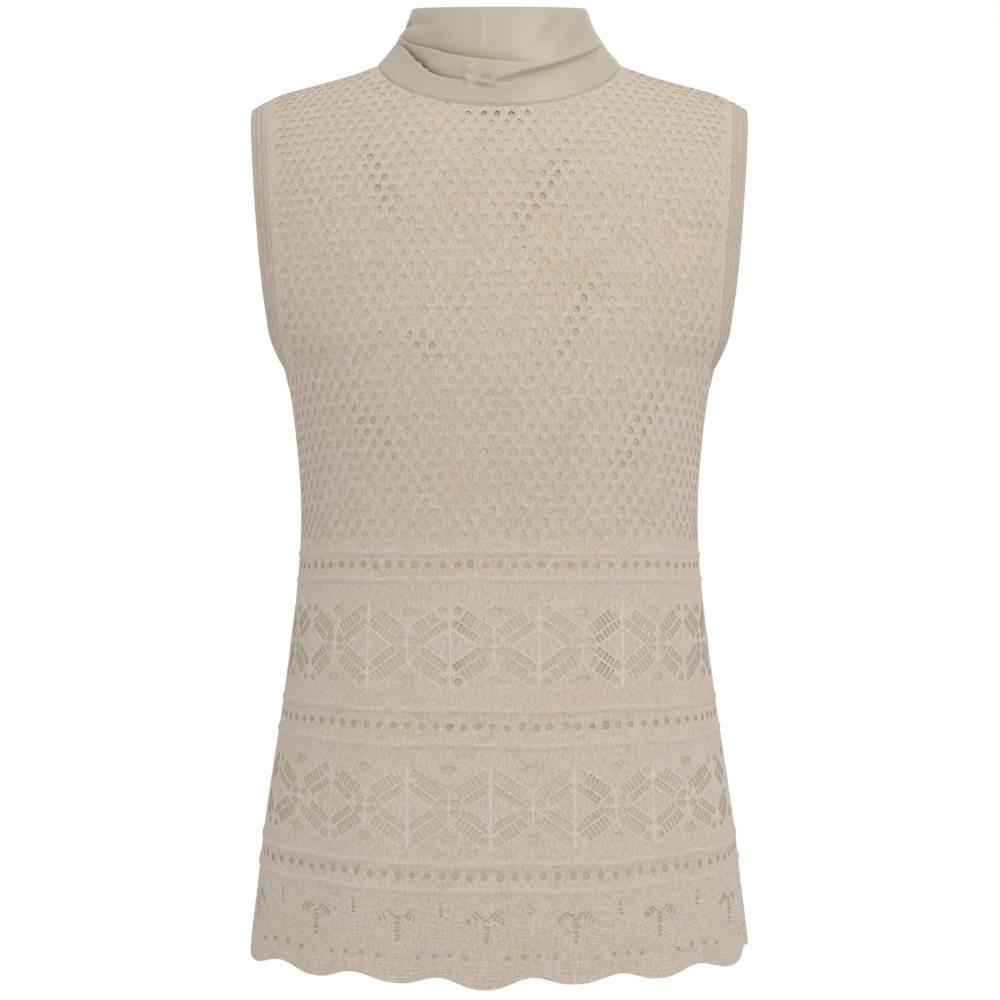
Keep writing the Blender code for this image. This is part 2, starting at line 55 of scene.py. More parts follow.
# Body surface, in metres: the same worn form as the frame's solids
BODY_SECTIONS = (
    # height, half width, front depth, back depth
    (-0.6100, 0.1668, 0.1270, 0.1200),
    (-0.5897, 0.1653, 0.1260, 0.1190),
    (-0.5495, 0.1606, 0.1235, 0.1165),
    (-0.5173, 0.1570, 0.1210, 0.1140),
    (-0.4851, 0.1526, 0.1180, 0.1110),
    (-0.4529, 0.1476, 0.1145, 0.1075),
    (-0.4208, 0.1429, 0.1110, 0.1035),
    (-0.3886, 0.1389, 0.1075, 0.0995),
    (-0.3564, 0.1350, 0.1040, 0.0960),
    (-0.3200, 0.1323, 0.1035, 0.0940),
    (-0.2921, 0.1323, 0.1060, 0.0945),
    (-0.2599, 0.1347, 0.1100, 0.0965),
    (-0.2278, 0.1387, 0.1125, 0.0985),
    (-0.2088, 0.1425, 0.1120, 0.0990),
    (-0.1991, 0.1464, 0.1110, 0.0990),
    (-0.1920, 0.1487, 0.1100, 0.0990),
    (-0.1774, 0.1506, 0.1070, 0.0990),
    (-0.1468, 0.1541, 0.1010, 0.0980),
    (-0.1150, 0.1573, 0.0930, 0.0960),
    (-0.0817, 0.1608, 0.0840, 0.0930),
    (-0.0643, 0.1627, 0.0790, 0.0910),
    (-0.0451, 0.1649, 0.0720, 0.0880),
    (-0.0300, 0.1662, 0.0690, 0.0860),
    (0.0100, 0.1680, 0.0650, 0.0830),
)
SHOULDER_LINE = (
    # distance from centre, height
    (0.0808, -0.0026),
    (0.0975, -0.0086),
    (0.1190, -0.0147),
    (0.1511, -0.0242),
    (0.1700, -0.0345),
)
SHOULDER_Y = 0.008
SHOULDER_ROUNDING = 0.100
SHOULDER_SHARPNESS = 1.8
SHOULDER_REACH = 0.080
SHOULDER_END_Z = -0.033
SECTION_SQUARENESS = 2.3
SECTION_STEPS = 41
NECK_HALF_WIDTH = 0.0808
NECK_RISE = 0.0145
NECK_POINT_Z = SHOULDER_LINE[0][1]
FRONT_NECK_DROP = 0.0415
BACK_NECK_DROP = 0.0040
UNDERARM_Z = -0.2088
ARMHOLE_CURVE_HEIGHT = 0.070
ARMHOLE_CUT_ANGLE = math.radians(31.0)
TRIM_WIDTH = 0.0130
SEAM_GAP = 0.0003
DRAPE_FOLDS = (
    # side, place (share of the half girth), half spread, how far out, height of top, full depth at
    (FRONT, -0.74, 0.17, 0.0034, -0.400, -0.560),
    (FRONT, -0.40, 0.13, 0.0022, -0.350, -0.500),
    (FRONT, -0.10, 0.11, 0.0018, -0.460, -0.590),
    (FRONT, 0.30, 0.14, 0.0026, -0.430, -0.570),
    (FRONT, 0.68, 0.16, 0.0032, -0.390, -0.550),
    (BACK, -0.66, 0.15, 0.0030, -0.380, -0.550),
    (BACK, -0.25, 0.14, 0.0024, -0.420, -0.580),
    (BACK, 0.12, 0.12, 0.0018, -0.440, -0.590),
    (BACK, 0.47, 0.16, 0.0028, -0.400, -0.560),
    (BACK, 0.78, 0.14, 0.0026, -0.370, -0.530),
)

# Knit pattern
MOTIFS_PER_PANEL = 8
HEM_Z = -0.5945
HEM_LOBE_DEPTH = 0.0055
HEM_LOBE_FULLNESS = 1.3
HEM_CENTRE_DROP = 0.0030
HEM_CENTRE_WIDTH = 0.030
HEM_TURN = 0.15
HEM_SIDE_RISE = 0.0050
BELTS = (
    # height between its welts, distance between them
    (-0.3391, 0.0168),
    (-0.4393, 0.0215),
    (-0.5303, 0.0160),
)
SIDE_LIFT = (
    # height, how much higher a knit row lies at the sides than in the middle
    (-0.6000, 0.0030),
    (-0.5303, 0.0100),
    (-0.4393, 0.0060),
    (-0.3389, 0.0000),
    (-0.3000, 0.0000),
)
GATHERING = (
    # height, how much closer the motifs are in the middle than at the sides
    (-0.6000, 0.080),
    (-0.4880, 0.060),
    (-0.3885, -0.100),
    (-0.3389, -0.100),
)
LACE_BANDS = (
    # upper gap row, diamond centre, lower gap row, first gap in motifs, diamond half height
    (-0.3674, -0.3885, -0.4099, -0.055, 0.0262),
    (-0.4647, -0.4880, -0.5068, 0.395, 0.0242),
)


def smooth(table, column, at):
    """Read a column of a table between its rows, by a cubic through them."""
    keys = np.array([row[0] for row in table])
    values = np.array([row[column] for row in table])
    slopes = np.gradient(values, keys)
    at = np.clip(at, keys[0], keys[-1])
    row = np.clip(np.searchsorted(keys, at) - 1, 0, len(keys) - 2)
    span = keys[row + 1] - keys[row]
    t = (at - keys[row]) / span
    start = values[row] * (1 + 2 * t) + slopes[row] * span * t
    end = values[row + 1] * (3 - 2 * t) - slopes[row + 1] * span * (1 - t)
    return start * (1 - t) ** 2 + end * t ** 2


def shoulder_height(x):
    """Height of the ridge where front and back meet, level with the neck's own rise inside it."""
    x = np.abs(x)
    inside_neck = NECK_POINT_Z + NECK_RISE * (1 - (x / NECK_HALF_WIDTH) ** 2)
    return np.where(x < NECK_HALF_WIDTH, inside_neck, smooth(SHOULDER_LINE, 1, x))


def shoulder_closing(drop):
    """How far the surface has come out from the ridge at a drop below it, 0 to 1."""
    t = 1 - np.clip(drop / SHOULDER_ROUNDING, 0, 1)
    return (1 - t ** SHOULDER_SHARPNESS) ** (1 / SHOULDER_SHARPNESS)


def shoulder_path():
    """Drops below the ridge, and the distance down the cloth to each."""
    drop = SHOULDER_ROUNDING * np.linspace(0, 1, 200) ** 2
    out = SHOULDER_REACH * shoulder_closing(drop)
    path = np.concatenate([[0], np.cumsum(np.hypot(np.diff(drop), np.diff(out)))])
    return np.append(drop, drop[-1] + 1), np.append(path, path[-1] + 1)


DROP, PATH = shoulder_path()
SHOULDER_EXTRA = PATH[-1] - DROP[-1]


def armhole_angle(height):
    """Where the section stops: 90 degrees at the side seam, less beside the armhole."""
    rise = np.clip((height - UNDERARM_Z) / ARMHOLE_CURVE_HEIGHT, 0, 1)
    return math.pi / 2 - ARMHOLE_CUT_ANGLE * np.sqrt(1 - (1 - rise) ** 2)


def full_half_width(height):
    """Half width of the whole section, which the armhole cuts short."""
    return smooth(BODY_SECTIONS, 1, height) / np.sin(armhole_angle(height)) ** (2 / SECTION_SQUARENESS)


def depth(x, height, side):
    """The surface's Y at a distance from the centre line and a height."""
    share = np.clip(np.abs(x) / full_half_width(height), 0, 1)
    reach = smooth(BODY_SECTIONS, 2 if side == FRONT else 3, height)
    out = side * reach * (1 - share ** SECTION_SQUARENESS) ** (1 / SECTION_SQUARENESS)
    return SHOULDER_Y + (out - SHOULDER_Y) * shoulder_closing(shoulder_height(x) - height)


def section(height, side):
    """Half sections at some heights: X and the distance run from the centre line."""
    steps = np.linspace(0, 1, SECTION_STEPS)
    angle = armhole_angle(height)[:, None] * steps
    x = full_half_width(height)[:, None] * np.sin(angle) ** (2 / SECTION_SQUARENESS)
    y = depth(x, height[:, None], side)
    run = np.cumsum(np.hypot(np.diff(x, axis=1), np.diff(y, axis=1)), axis=1)
    return x, np.concatenate([np.zeros((len(height), 1)), run], axis=1)


def read_rows(at, keys, values):
    """In each row, the value at one key."""
    column = np.clip((keys < at[:, None]).sum(axis=1) - 1, 0, keys.shape[1] - 2)
    row = np.arange(len(at))
    span = keys[row, column + 1] - keys[row, column]
    share = np.clip((at - keys[row, column]) / span, 0, 1)
    return values[row, column] * (1 - share) + values[row, column + 1] * share


def half_girth(height, side):
    """Distance round the surface from the centre line to the edge."""
    return section(np.atleast_1d(height).astype(float), side)[1][:, -1]


def drape(across_share, height, side):
    """How far the soft folds of the lower body stand out."""
    out = np.zeros_like(height)
    for fold_side, place, spread, reach, top, deep in DRAPE_FOLDS:
        if fold_side != side:
            continue
        near_fold = np.clip(1 - ((across_share - place) / spread) ** 2, 0, 1)
        growth = np.clip((top - height) / (top - deep), 0, 1)
        out += reach * near_fold ** 2 * growth * growth * (3 - 2 * growth)
    return out


def lay(points, side):
    """Lay flat points, each a distance across and a distance up, on the body surface."""
    across, up = np.asarray(points, dtype=float).T
    height = up.copy()
    for _ in range(5):
        x, run = section(height, side)
        x = read_rows(np.abs(across), run, x)
        ridge = shoulder_height(x)
        height = ridge - np.interp(ridge + SHOULDER_EXTRA - up, PATH, DROP)
    x = x * np.sign(across)
    y = depth(x, height, side)
    out = drape(across / run[:, -1], height, side) / np.hypot(x, y)
    return np.stack([x * (1 + out), y * (1 + out), height], axis=1)


def flat_place(x, height, side):
    """The flat point that lies at a distance from the centre line and a height."""
    sections, run = section(height, side)
    across = read_rows(x, sections, run)
    ridge = shoulder_height(x)
    up = ridge + SHOULDER_EXTRA - np.interp(ridge - height, DROP, PATH)
    return np.stack([across, up], axis=1)


def motif_phase(across, height, side):
    """Which motif a flat point is in: 0 on the centre line, whole numbers on hem lobes."""
    share = across / half_girth(height, side)
    gather = smooth(GATHERING, 1, height)
    return MOTIFS_PER_PANEL / 2 * (share * (1 + gather) - gather * share ** 3)


def motif_across(phase, height, side):
    """The distance from the centre line at which a motif lies."""
    girth = half_girth(height, side)[0]
    across = girth * np.linspace(-1, 1, 201)
    return np.interp(phase, motif_phase(across, np.full(201, height), side), across)


def lifted(across, height, side):
    """A knit row's height where it passes a distance across, from its height in the middle."""
    lift = smooth(SIDE_LIFT, 1, height)
    return height + lift * (across / half_girth(height, side)) ** 2


def hem_wave(across, side):
    """How far the scalloped hem rises above the tips of its lobes."""
    phase = motif_phase(across, np.full(len(across), HEM_Z), side) + HEM_TURN
    return HEM_LOBE_DEPTH * ((1 - np.cos(2 * math.pi * phase)) / 2) ** HEM_LOBE_FULLNESS


def side_rise(across, side):
    """How much higher the hem lies close to the side seams."""
    return HEM_SIDE_RISE * (across / half_girth(HEM_Z, side)[0]) ** 8


def hem_height(across, side):
    """Height of the scalloped hem."""
    middle = motif_across(-HEM_TURN, HEM_Z, side)
    drop = HEM_CENTRE_DROP * np.exp(-((across - middle) / HEM_CENTRE_WIDTH) ** 2)
    return lifted(across, HEM_Z, side) + hem_wave(across, side) + side_rise(across, side) - drop


def armhole_edge(side, curve_steps, straight_steps):
    """The armhole's free edge on the flat panel, from the underarm to the shoulder."""
    curve = 1 - np.cos(np.linspace(0, math.pi / 2, curve_steps))
    curve = UNDERARM_Z + ARMHOLE_CURVE_HEIGHT * curve
    top = smooth(SHOULDER_LINE, 1, smooth(BODY_SECTIONS, 1, SHOULDER_END_Z))
    straight = np.linspace(curve[-1], top, straight_steps + 1)[1:]
    height = np.concatenate([curve, straight])
    x = smooth(BODY_SECTIONS, 1, height)
    edge = flat_place(x, height, side)
    edge[:, 0] = half_girth(height, side)
    return edge


def armhole_inset(side, distance, curve_steps=24, straight_steps=24):
    """The armhole's edge moved into the panel, its last point kept on the shoulder line."""
    edge = armhole_edge(side, curve_steps, straight_steps)
    tangent = np.gradient(edge, axis=0)
    tangent[0] = (-1, 0)
    tangent /= np.linalg.norm(tangent, axis=1)[:, None]
    inset = edge + distance * np.stack([-tangent[:, 1], tangent[:, 0]], axis=1)
    end = smooth(BODY_SECTIONS, 1, SHOULDER_END_Z) - distance * 0.95
    inset[-1] = flat_place(np.array([end]), shoulder_height(np.array([end])), side)[0]
    inset[0, 0] = half_girth(inset[0, 1], side)[0]
    return inset


def neckline(side, steps, lower=0.0):
    """Half of the neckline on the flat panel, from the neck point to the centre line."""
    turn = np.linspace(0, math.pi / 2, steps)
    drop = (FRONT_NECK_DROP if side == FRONT else BACK_NECK_DROP) + lower
    x = NECK_HALF_WIDTH * np.cos(turn) + lower * (1 - np.sin(turn))
    height = shoulder_height(NECK_HALF_WIDTH + lower) - drop * np.sin(turn)
    return flat_place(x, np.minimum(height, shoulder_height(x)), side)


def upper_edge(side, bottom, inset, neck_lower, seam_steps):
    """Right half of a panel's outline, from the side seam at a height up to the neck's middle."""
    armhole = armhole_inset(side, inset)
    heights = np.linspace(bottom, armhole[0, 1], seam_steps)[:-1]
    seam = np.stack([half_girth(heights, side), heights], axis=1)
    neck = neckline(side, 40, neck_lower)
    ends = np.array([lay(armhole[-1:], side)[0, 0], lay(neck[:1], side)[0, 0]])
    x = np.linspace(ends[0], ends[1], 24)[1:-1]
    shoulder = flat_place(x, shoulder_height(x), side)
    return np.concatenate([seam, armhole, shoulder, neck])


def mirrored(half):
    """A closed outline from its right half, whose two ends lie on the centre line."""
    left = half[1:-1][::-1] * (-1, 1)
    return np.concatenate([half, left])


def inside(points, outline):
    """Whether each flat point lies inside a closed outline."""
    x, y = points.T
    result = np.zeros(len(points), dtype=bool)
    for (x0, y0), (x1, y1) in zip(outline, np.roll(outline, -1, axis=0)):
        crosses = (y0 > y) != (y1 > y)
        rise = y1 - y0 if y1 != y0 else 1.0
        result ^= crosses & (x < (x1 - x0) * (y - y0) / rise + x0)
    return result


def resample(line, spacing, closed=True):
    """Points along a line, close enough together to keep others clear of it."""
    ends = np.roll(line, -1, axis=0) if closed else line[1:]
    pieces = []
    for start, end in zip(line, ends):
        count = max(1, int(np.linalg.norm(end - start) / spacing))
        pieces.append(start + (end - start) * np.linspace(0, 1, count, endpoint=False)[:, None])
    return np.concatenate(pieces)


def gap_to(points, others):
    """Distance from each flat point to the nearest of the others."""
    tree = KDTree(len(others))
    for index, (x, y) in enumerate(others):
        tree.insert((x, y, 0), index)
    tree.balance()
    return np.array([tree.find((x, y, 0))[2] for x, y in points])


def fill_points(outline, spacing, taken, clearance):
    """Points spread over a panel in staggered rows, clear of what is drawn on it."""
    low, high = outline.min(axis=0), outline.max(axis=0)
    rows = []
    for index, up in enumerate(np.arange(low[1], high[1], spacing * 0.866)):
        across = np.arange(low[0], high[0], spacing) + (index % 2) * spacing / 2
        rows.append(np.stack([across, np.full(len(across), up)], axis=1))
    points = np.concatenate(rows)
    points = points[inside(points, outline)]
    return points[gap_to(points, taken) > clearance]


def filled(holes):
    """Points on the holes' edges and over their insides."""
    shares = (0.0, 0.25, 0.5, 0.75, 1.0)
    points = []
    for hole in holes:
        middle = hole.mean(axis=0)
        points += [middle + (hole - middle) * share for share in shares]
    return points


def triangulate(outline, holes, lines, loose):
    """Triangles over a flat panel without its holes, and each point's hole or -1."""
    points, edges, owner = [], [], []
    loops = [(outline, True, -1)] + [(h, True, i) for i, h in enumerate(holes)]
    for loop, closed, hole in loops + [(line, False, -1) for line in lines]:
        first = len(points)
        points += [Vector(p) for p in loop]
        owner += [hole] * len(loop)
        edges += [(first + i, first + i + 1) for i in range(len(loop) - 1)]
        if closed:
            edges.append((first + len(loop) - 1, first))
    points += [Vector(p) for p in loose]
    owner += [-1] * len(loose)
    flat, _, triangles, origins, *_ = delaunay_2d_cdt(points, edges, [], 0, 1e-7)
    flat = np.array([tuple(p) for p in flat])
    triangles = np.array([tuple(t) for t in triangles])
    hole_of = np.array([max([owner[i] for i in o], default=-1) for o in origins])
    corners = hole_of[triangles]
    in_hole = (corners[:, 0] >= 0) & (corners[:, 0] == corners[:, 1]) & (corners[:, 1] == corners[:, 2])
    triangles = triangles[~in_hole & inside(flat[triangles].mean(axis=1), outline)]
    used, triangles = np.unique(triangles, return_inverse=True)
    return flat[used], triangles.reshape(-1, 3), hole_of[used]


def point_normals(points, triangles):
    """Normals of a sheet at its points, weighted by the triangles' areas."""
    a, b, c = (points[triangles[:, i]] for i in range(3))
    face = np.cross(b - a, c - a)
    normals = np.zeros_like(points)
    for corner in range(3):
        np.add.at(normals, triangles[:, corner], face)
    return normals / np.maximum(np.linalg.norm(normals, axis=1), 1e-12)[:, None]


def grid_faces(rows, columns, closed):
    """Triangles over a grid, whose columns may close on themselves."""
    row, column = np.mgrid[0:rows - 1, 0:columns if closed else columns - 1]
    a = (row * columns + column).ravel()
    b = (row * columns + (column + 1) % columns).ravel()
    first = np.stack([a, b, b + columns], axis=1)
    return np.concatenate([first, np.stack([a, b + columns, a + columns], axis=1)])


def add_mesh(name, points, triangles, flat, layers, material, sharp=math.radians(75)):
    """A smooth mesh with its flat places as a UV map in metres, and other values at its points."""
    mesh = bpy.data.meshes.new(name)
    mesh.from_pydata(points.tolist(), [], triangles.tolist())
    uv = mesh.uv_layers.new(name="flat")
    corners = np.array(triangles).ravel()
    uv.data.foreach_set("uv", np.asarray(flat, dtype=np.float32)[corners].ravel())
    for key, values in layers.items():
        layer = mesh.attributes.new(key, "FLOAT", "POINT")
        layer.data.foreach_set("value", np.asarray(values, dtype=np.float32))
    mesh.shade_smooth()
    mesh.set_sharp_from_angle(angle=sharp)
    mesh.materials.append(material)
    piece = bpy.data.objects.new(name, mesh)
    bpy.context.collection.objects.link(piece)
    return piece


def add_wall(name, outer, inner, triangles, flat, layers, material):
    """A closed wall between two sheets of the same triangles."""
    count = len(outer)
    edges = np.concatenate([triangles[:, [0, 1]], triangles[:, [1, 2]], triangles[:, [2, 0]]])
    keys = edges[:, 0] * count + edges[:, 1]
    rim = edges[~np.isin(edges[:, 1] * count + edges[:, 0], keys)]
    sides = np.concatenate([
        np.stack([rim[:, 0], rim[:, 0] + count, rim[:, 1] + count], axis=1),
        np.stack([rim[:, 0], rim[:, 1] + count, rim[:, 1]], axis=1),
    ])
    faces = np.concatenate([triangles, triangles[:, ::-1] + count, sides])
    both = {key: np.concatenate([values, values]) for key, values in layers.items()}
    points = np.concatenate([outer, inner])
    return add_mesh(name, points, faces, np.concatenate([flat, flat]), both, material)


def add_panel(name, side, flat, triangles, raised, inset, wall, layers, material):
    """A wall laid on the body surface, its outer points raised, set in by a distance."""
    if side == BACK:
        triangles = triangles[:, ::-1]
    surface = lay(flat, side)
    normals = point_normals(surface, triangles)
    at_side = np.abs(flat[:, 0]) > half_girth(flat[:, 1], side) - SEAM_GAP
    ridge = shoulder_height(surface[:, 0]) - surface[:, 2] < SEAM_GAP
    seam = (at_side & (flat[:, 1] < UNDERARM_Z)) | ridge
    normals[seam, 1] = 0
    normals /= np.linalg.norm(normals, axis=1)[:, None]
    surface[:, 1] += side * SEAM_GAP / 4
    outer = surface - (inset - raised)[:, None] * normals
    inner = surface - (inset + wall) * normals
    return add_wall(name, outer, inner, triangles, flat, layers, material)


# Eyelet net

NET_TOP_OF_WELT = -0.3245
NET_BOTTOM = -0.3192
NET_DROOP = 0.0040
NET_DROOP_HALF_WIDTH = 0.125
NET_DROOP_TOP = -0.190
NET_DROOP_HEIGHT = 0.108
NET_LEVEL_HEIGHT = 0.022
NET_SQUEEZE = 0.060
NET_SQUEEZE_FROM = -0.190
NET_SQUEEZE_HEIGHT = 0.070
NET_PULLS = (
    # across (0) or up (1), how far, turn for each metre across, turn for each metre up, start
    (0, 0.0008, 14, 31, 0),
    (0, 0.0005, -23, 67, 1),
    (1, 0.0008, 27, 9, 2),
    (1, 0.0005, 71, 35, 0),
)
NET_JITTER = 0.00022
NET_UNEVENNESS = 0.07
NET_LEAN = 0.10
NET_SIDE_LEAN = 0.30
NET_EDGE_CLEARANCE = 0.0078
NET_NECK_CLEARANCE = 0.0030
NET_WELT_CLEARANCE = 0.0040
NET_WELT_ZONE = 0.004
EYELET_POINTS = 12
EYELET_TOP_SHARE = 0.16
RIM_DEPTH = 0.00022
PUFF_WIDTH = 0.0011
NET_FILL = 0.0023
NET_FILL_CLEARANCE = 0.0009


def oval(width, height, points, top_share=0.0):
    """An upright oval, narrower towards its top by a share."""
    turn = 2 * math.pi * (np.arange(points) + 0.5) / points
    x = width / 2 * np.cos(turn) * (1 - top_share * np.sin(turn))
    return np.stack([x, height / 2 * np.sin(turn)], axis=1)


def net_holes(outline, settings, random):
    """The eyelets of the upper body, in staggered rows, a little uneven as knit is."""
    shape = oval(settings.eyelet_width, settings.eyelet_height, EYELET_POINTS, EYELET_TOP_SHARE)
    centres = []
    rows = int((outline[:, 1].max() - NET_BOTTOM) / settings.row_spacing) + 1
    columns = int(outline[:, 0].max() / settings.column_spacing) + 3
    for row in range(rows):
        for column in range(-columns, columns + 1):
            centres.append(((column + 0.5 * ((row + 1) % 2)) * settings.column_spacing,
                            NET_BOTTOM + row * settings.row_spacing))
    centres = np.array(centres)
    centres = centres + net_warp(centres) + random.normal(0, NET_JITTER, centres.shape)
    edge = resample(outline, 0.002)
    centres = centres[inside(centres, outline)]
    clearance = np.where(np.abs(centres[:, 0]) < NECK_HALF_WIDTH, NET_NECK_CLEARANCE, NET_EDGE_CLEARANCE)
    clearance[centres[:, 1] < NET_BOTTOM + NET_WELT_ZONE] = NET_WELT_CLEARANCE
    centres = centres[gap_to(centres, edge) > clearance]
    holes = []
    for centre in centres:
        scale = 1 + random.normal(0, NET_UNEVENNESS, 2)
        lean = random.normal(0, NET_LEAN) - NET_SIDE_LEAN * min(centre[0], 0) / NET_DROOP_HALF_WIDTH
        hole = shape * scale
        hole[:, 0] += lean * hole[:, 1]
        holes.append(hole + centre)
    return holes


def net_warp(points):
    """A slow pull of the net out of line, and its droop towards the side seams."""
    x, y = points.T
    above_welt = np.clip((y - NET_BOTTOM) / NET_LEVEL_HEIGHT, 0, 1)
    fade = np.clip((NET_DROOP_TOP - y) / NET_DROOP_HEIGHT, 0, 1) * above_welt
    sideways = (x / NET_DROOP_HALF_WIDTH) ** 2
    squeeze = NET_SQUEEZE * x * sideways * np.clip((y - NET_SQUEEZE_FROM) / NET_SQUEEZE_HEIGHT, 0, 1)
    moved = np.stack([-squeeze, -NET_DROOP * sideways * fade], axis=1)
    for axis, reach, turn_across, turn_up, start in NET_PULLS:
        moved[:, axis] += reach * np.sin(x * turn_across + y * turn_up + start)
    return moved


def puff(flat, hole_of):
    """0 on the edge of a hole, 1 a strand's half width away from it."""
    edge = flat[hole_of >= 0]
    if len(edge) == 0:
        return np.ones(len(flat))
    return np.clip(gap_to(flat, edge) / PUFF_WIDTH, 0, 1)


def build_net(name, side, settings, material):
    """The eyelet net of the upper body, down to the first welt."""
    random = np.random.RandomState(7 if side == FRONT else 8)
    across = np.linspace(0, half_girth(NET_TOP_OF_WELT, side)[0], 60)
    bottom = np.stack([across, lifted(across, NET_TOP_OF_WELT, side)], axis=1)
    half = np.concatenate([bottom[:-1], upper_edge(side, NET_TOP_OF_WELT, TRIM_WIDTH, 0.0, 30)])
    outline = mirrored(half)
    holes = net_holes(outline, settings, random)
    taken = np.concatenate([resample(outline, 0.0015)] + filled(holes))
    loose = fill_points(outline, NET_FILL, taken, NET_FILL_CLEARANCE)
    flat, triangles, hole_of = triangulate(outline, holes, [], loose)
    strand = puff(flat, hole_of)
    raised = settings.strand_puff * strand - RIM_DEPTH * (1 - strand)
    zero = np.zeros(len(flat))
    layers = {"strand": strand, "light": zero, "motif": zero, "level": zero + 2}
    return add_panel(name, side, flat, triangles, raised, 0.0, settings.knit_wall, layers, material)


# Lace

STRAND_HALF_WIDTH = 0.00055
SPINE_HALF_WIDTH = 0.0013
CORNER_SHARE = 0.41
APEX_SHARE = 0.19
LADDERS = (
    # distance of the outer strand from the diamond's edge, gap length, first place, last share
    (0.0, 0.0074, 0.0015, 0.92),
    (0.0086, 0.0048, -0.0080, 1.10),
)
INNER_STRAND = 0.0146
LADDER_PITCH = 0.0029
LADDER_GAP = 0.0019
SHORTEST_GAP = 0.0018
GAP_CLEARANCE = 0.00045
NARROWEST_DIAMOND = 0.02
SIDE_WINDOW = (0.0062, 0.0042)
SIDE_WINDOW_INSET = 0.0042
SIDE_WINDOW_UP = 0.0029
APEX_WINDOW = (0.0052, 0.0044)
APEX_WINDOW_PLACE = (0.18, 0.84)
BAND_GAP = (0.0082, 0.0052)
BELT_EYELET = (0.0039, 0.0045)
BELT_EYELET_RISE = 0.0009
BELT_EYELET_JITTER = (0.0004, 0.0003)
BELT_EYELET_UNEVENNESS = 0.09
LACE_JITTER = 0.00013
LACE_FILL = 0.0022
LACE_EDGE_CLEARANCE = 0.0014
WELT_WIDTH = 0.0050
HEM_LADDERS = (
    # top rung's height, rungs, distance between them, top rung's length, shortening, width
    (-0.5555, 6, 0.0026, 0.0034, 0.0002, 0.0017),
    (-0.5460, 4, 0.0024, 0.0024, 0.0001, 0.0015),
)
HEM_FAN_RAYS = 4
HEM_FAN_WIDTH = 0.0012
HEM_FAN = (
    # first ray's value and its change from ray to ray: across, up, length, then turn in degrees
    (0.0040, 0.0022),
    (0.0030, -0.0012),
    (0.0052, -0.0006),
    (35, 15),
)
HEM_EYELETS = -0.5772
HEM_EYELET_PLACES = (-0.265, -0.088, 0.088, 0.265)
HEM_EYELET_BOW = 0.020
HEM_EYELET_SIZE = (0.0027, 0.0024)
HEM_JITTER = 0.0002
RIPPLE_PITCH = 0.0027
RIPPLE_HEIGHT = 0.00012
UMBRELLA_DEPTH = 0.0095


def slit(start, end, width):
    """A gap with cut corners from one point to another."""
    start, end = np.array(start), np.array(end)
    along = end - start
    length = np.linalg.norm(along)
    along /= length
    across = np.array((-along[1], along[0])) * width / 2
    shares = ((0.0, -0.5), (0.1, -1), (0.37, -1), (0.63, -1), (0.9, -1), (1.0, -0.5),
              (1.0, 0.5), (0.9, 1), (0.63, 1), (0.37, 1), (0.1, 1), (0.0, 0.5))
    return np.array([start + a * length * along + b * across for a, b in shares])


def diamond_edge(half_width, half_height):
    """The slanted edge of a diamond's upper right quarter: corner, apex, and the way inward."""
    corner = np.array((half_width, CORNER_SHARE * half_height))
    apex = np.array((APEX_SHARE * half_width, half_height))
    run = apex - corner
    reach = np.linalg.norm(run)
    run /= reach
    return corner, run, reach, np.array((-run[1], run[0]))


def quarter_gaps(half_width, half_height):
    """Gaps of a diamond's upper right quarter: its ladders, its side window and its apex."""
    corner, run, reach, inward = diamond_edge(half_width, half_height)
    across, up = APEX_WINDOW_PLACE
    gaps = [oval(*SIDE_WINDOW, 12) + (half_width - SIDE_WINDOW_INSET, SIDE_WINDOW_UP),
            oval(*APEX_WINDOW, 12) + (across * half_width, up * half_height)]
    for offset, length, first, last_share in LADDERS:
        for place in np.arange(first, reach * last_share, LADDER_PITCH):
            start = corner + run * place + inward * (offset + STRAND_HALF_WIDTH)
            room = min(length, (start[0] - SPINE_HALF_WIDTH - LADDER_GAP / 2) / -inward[0],
                       (start[1] - LADDER_GAP / 2 - STRAND_HALF_WIDTH) / -inward[1])
            if room > SHORTEST_GAP:
                gaps.append(slit(start, start + inward * room, LADDER_GAP))
    return gaps


def mirrored_quarter(loop, hand, up, middle, centre, side):
    """A quarter's loop moved to its place in the band, mirrored as its hand and height ask."""
    moved = loop * (hand, up) + (middle, centre)
    moved[:, 1] = lifted(moved[:, 0], centre, side) + up * loop[:, 1]
    return moved


def band_diamonds(centre, first, side):
    """The middle and half width of each diamond of a band."""
    for phase in np.arange(-MOTIFS_PER_PANEL // 2 - 1, MOTIFS_PER_PANEL // 2 + 1) + 0.5 + first:
        ends = [motif_across(phase + step, centre, side) for step in (-0.5, 0.5)]
        if ends[1] - ends[0] > NARROWEST_DIAMOND:
            yield motif_across(phase, centre, side), (ends[1] - ends[0]) / 2


def on_row(gap, height, side):
    """A gap drawn at a height in the middle, moved to where its knit row runs."""
    return gap + np.stack([np.zeros(len(gap)), lifted(gap[:, 0], height, side) - height], axis=1)


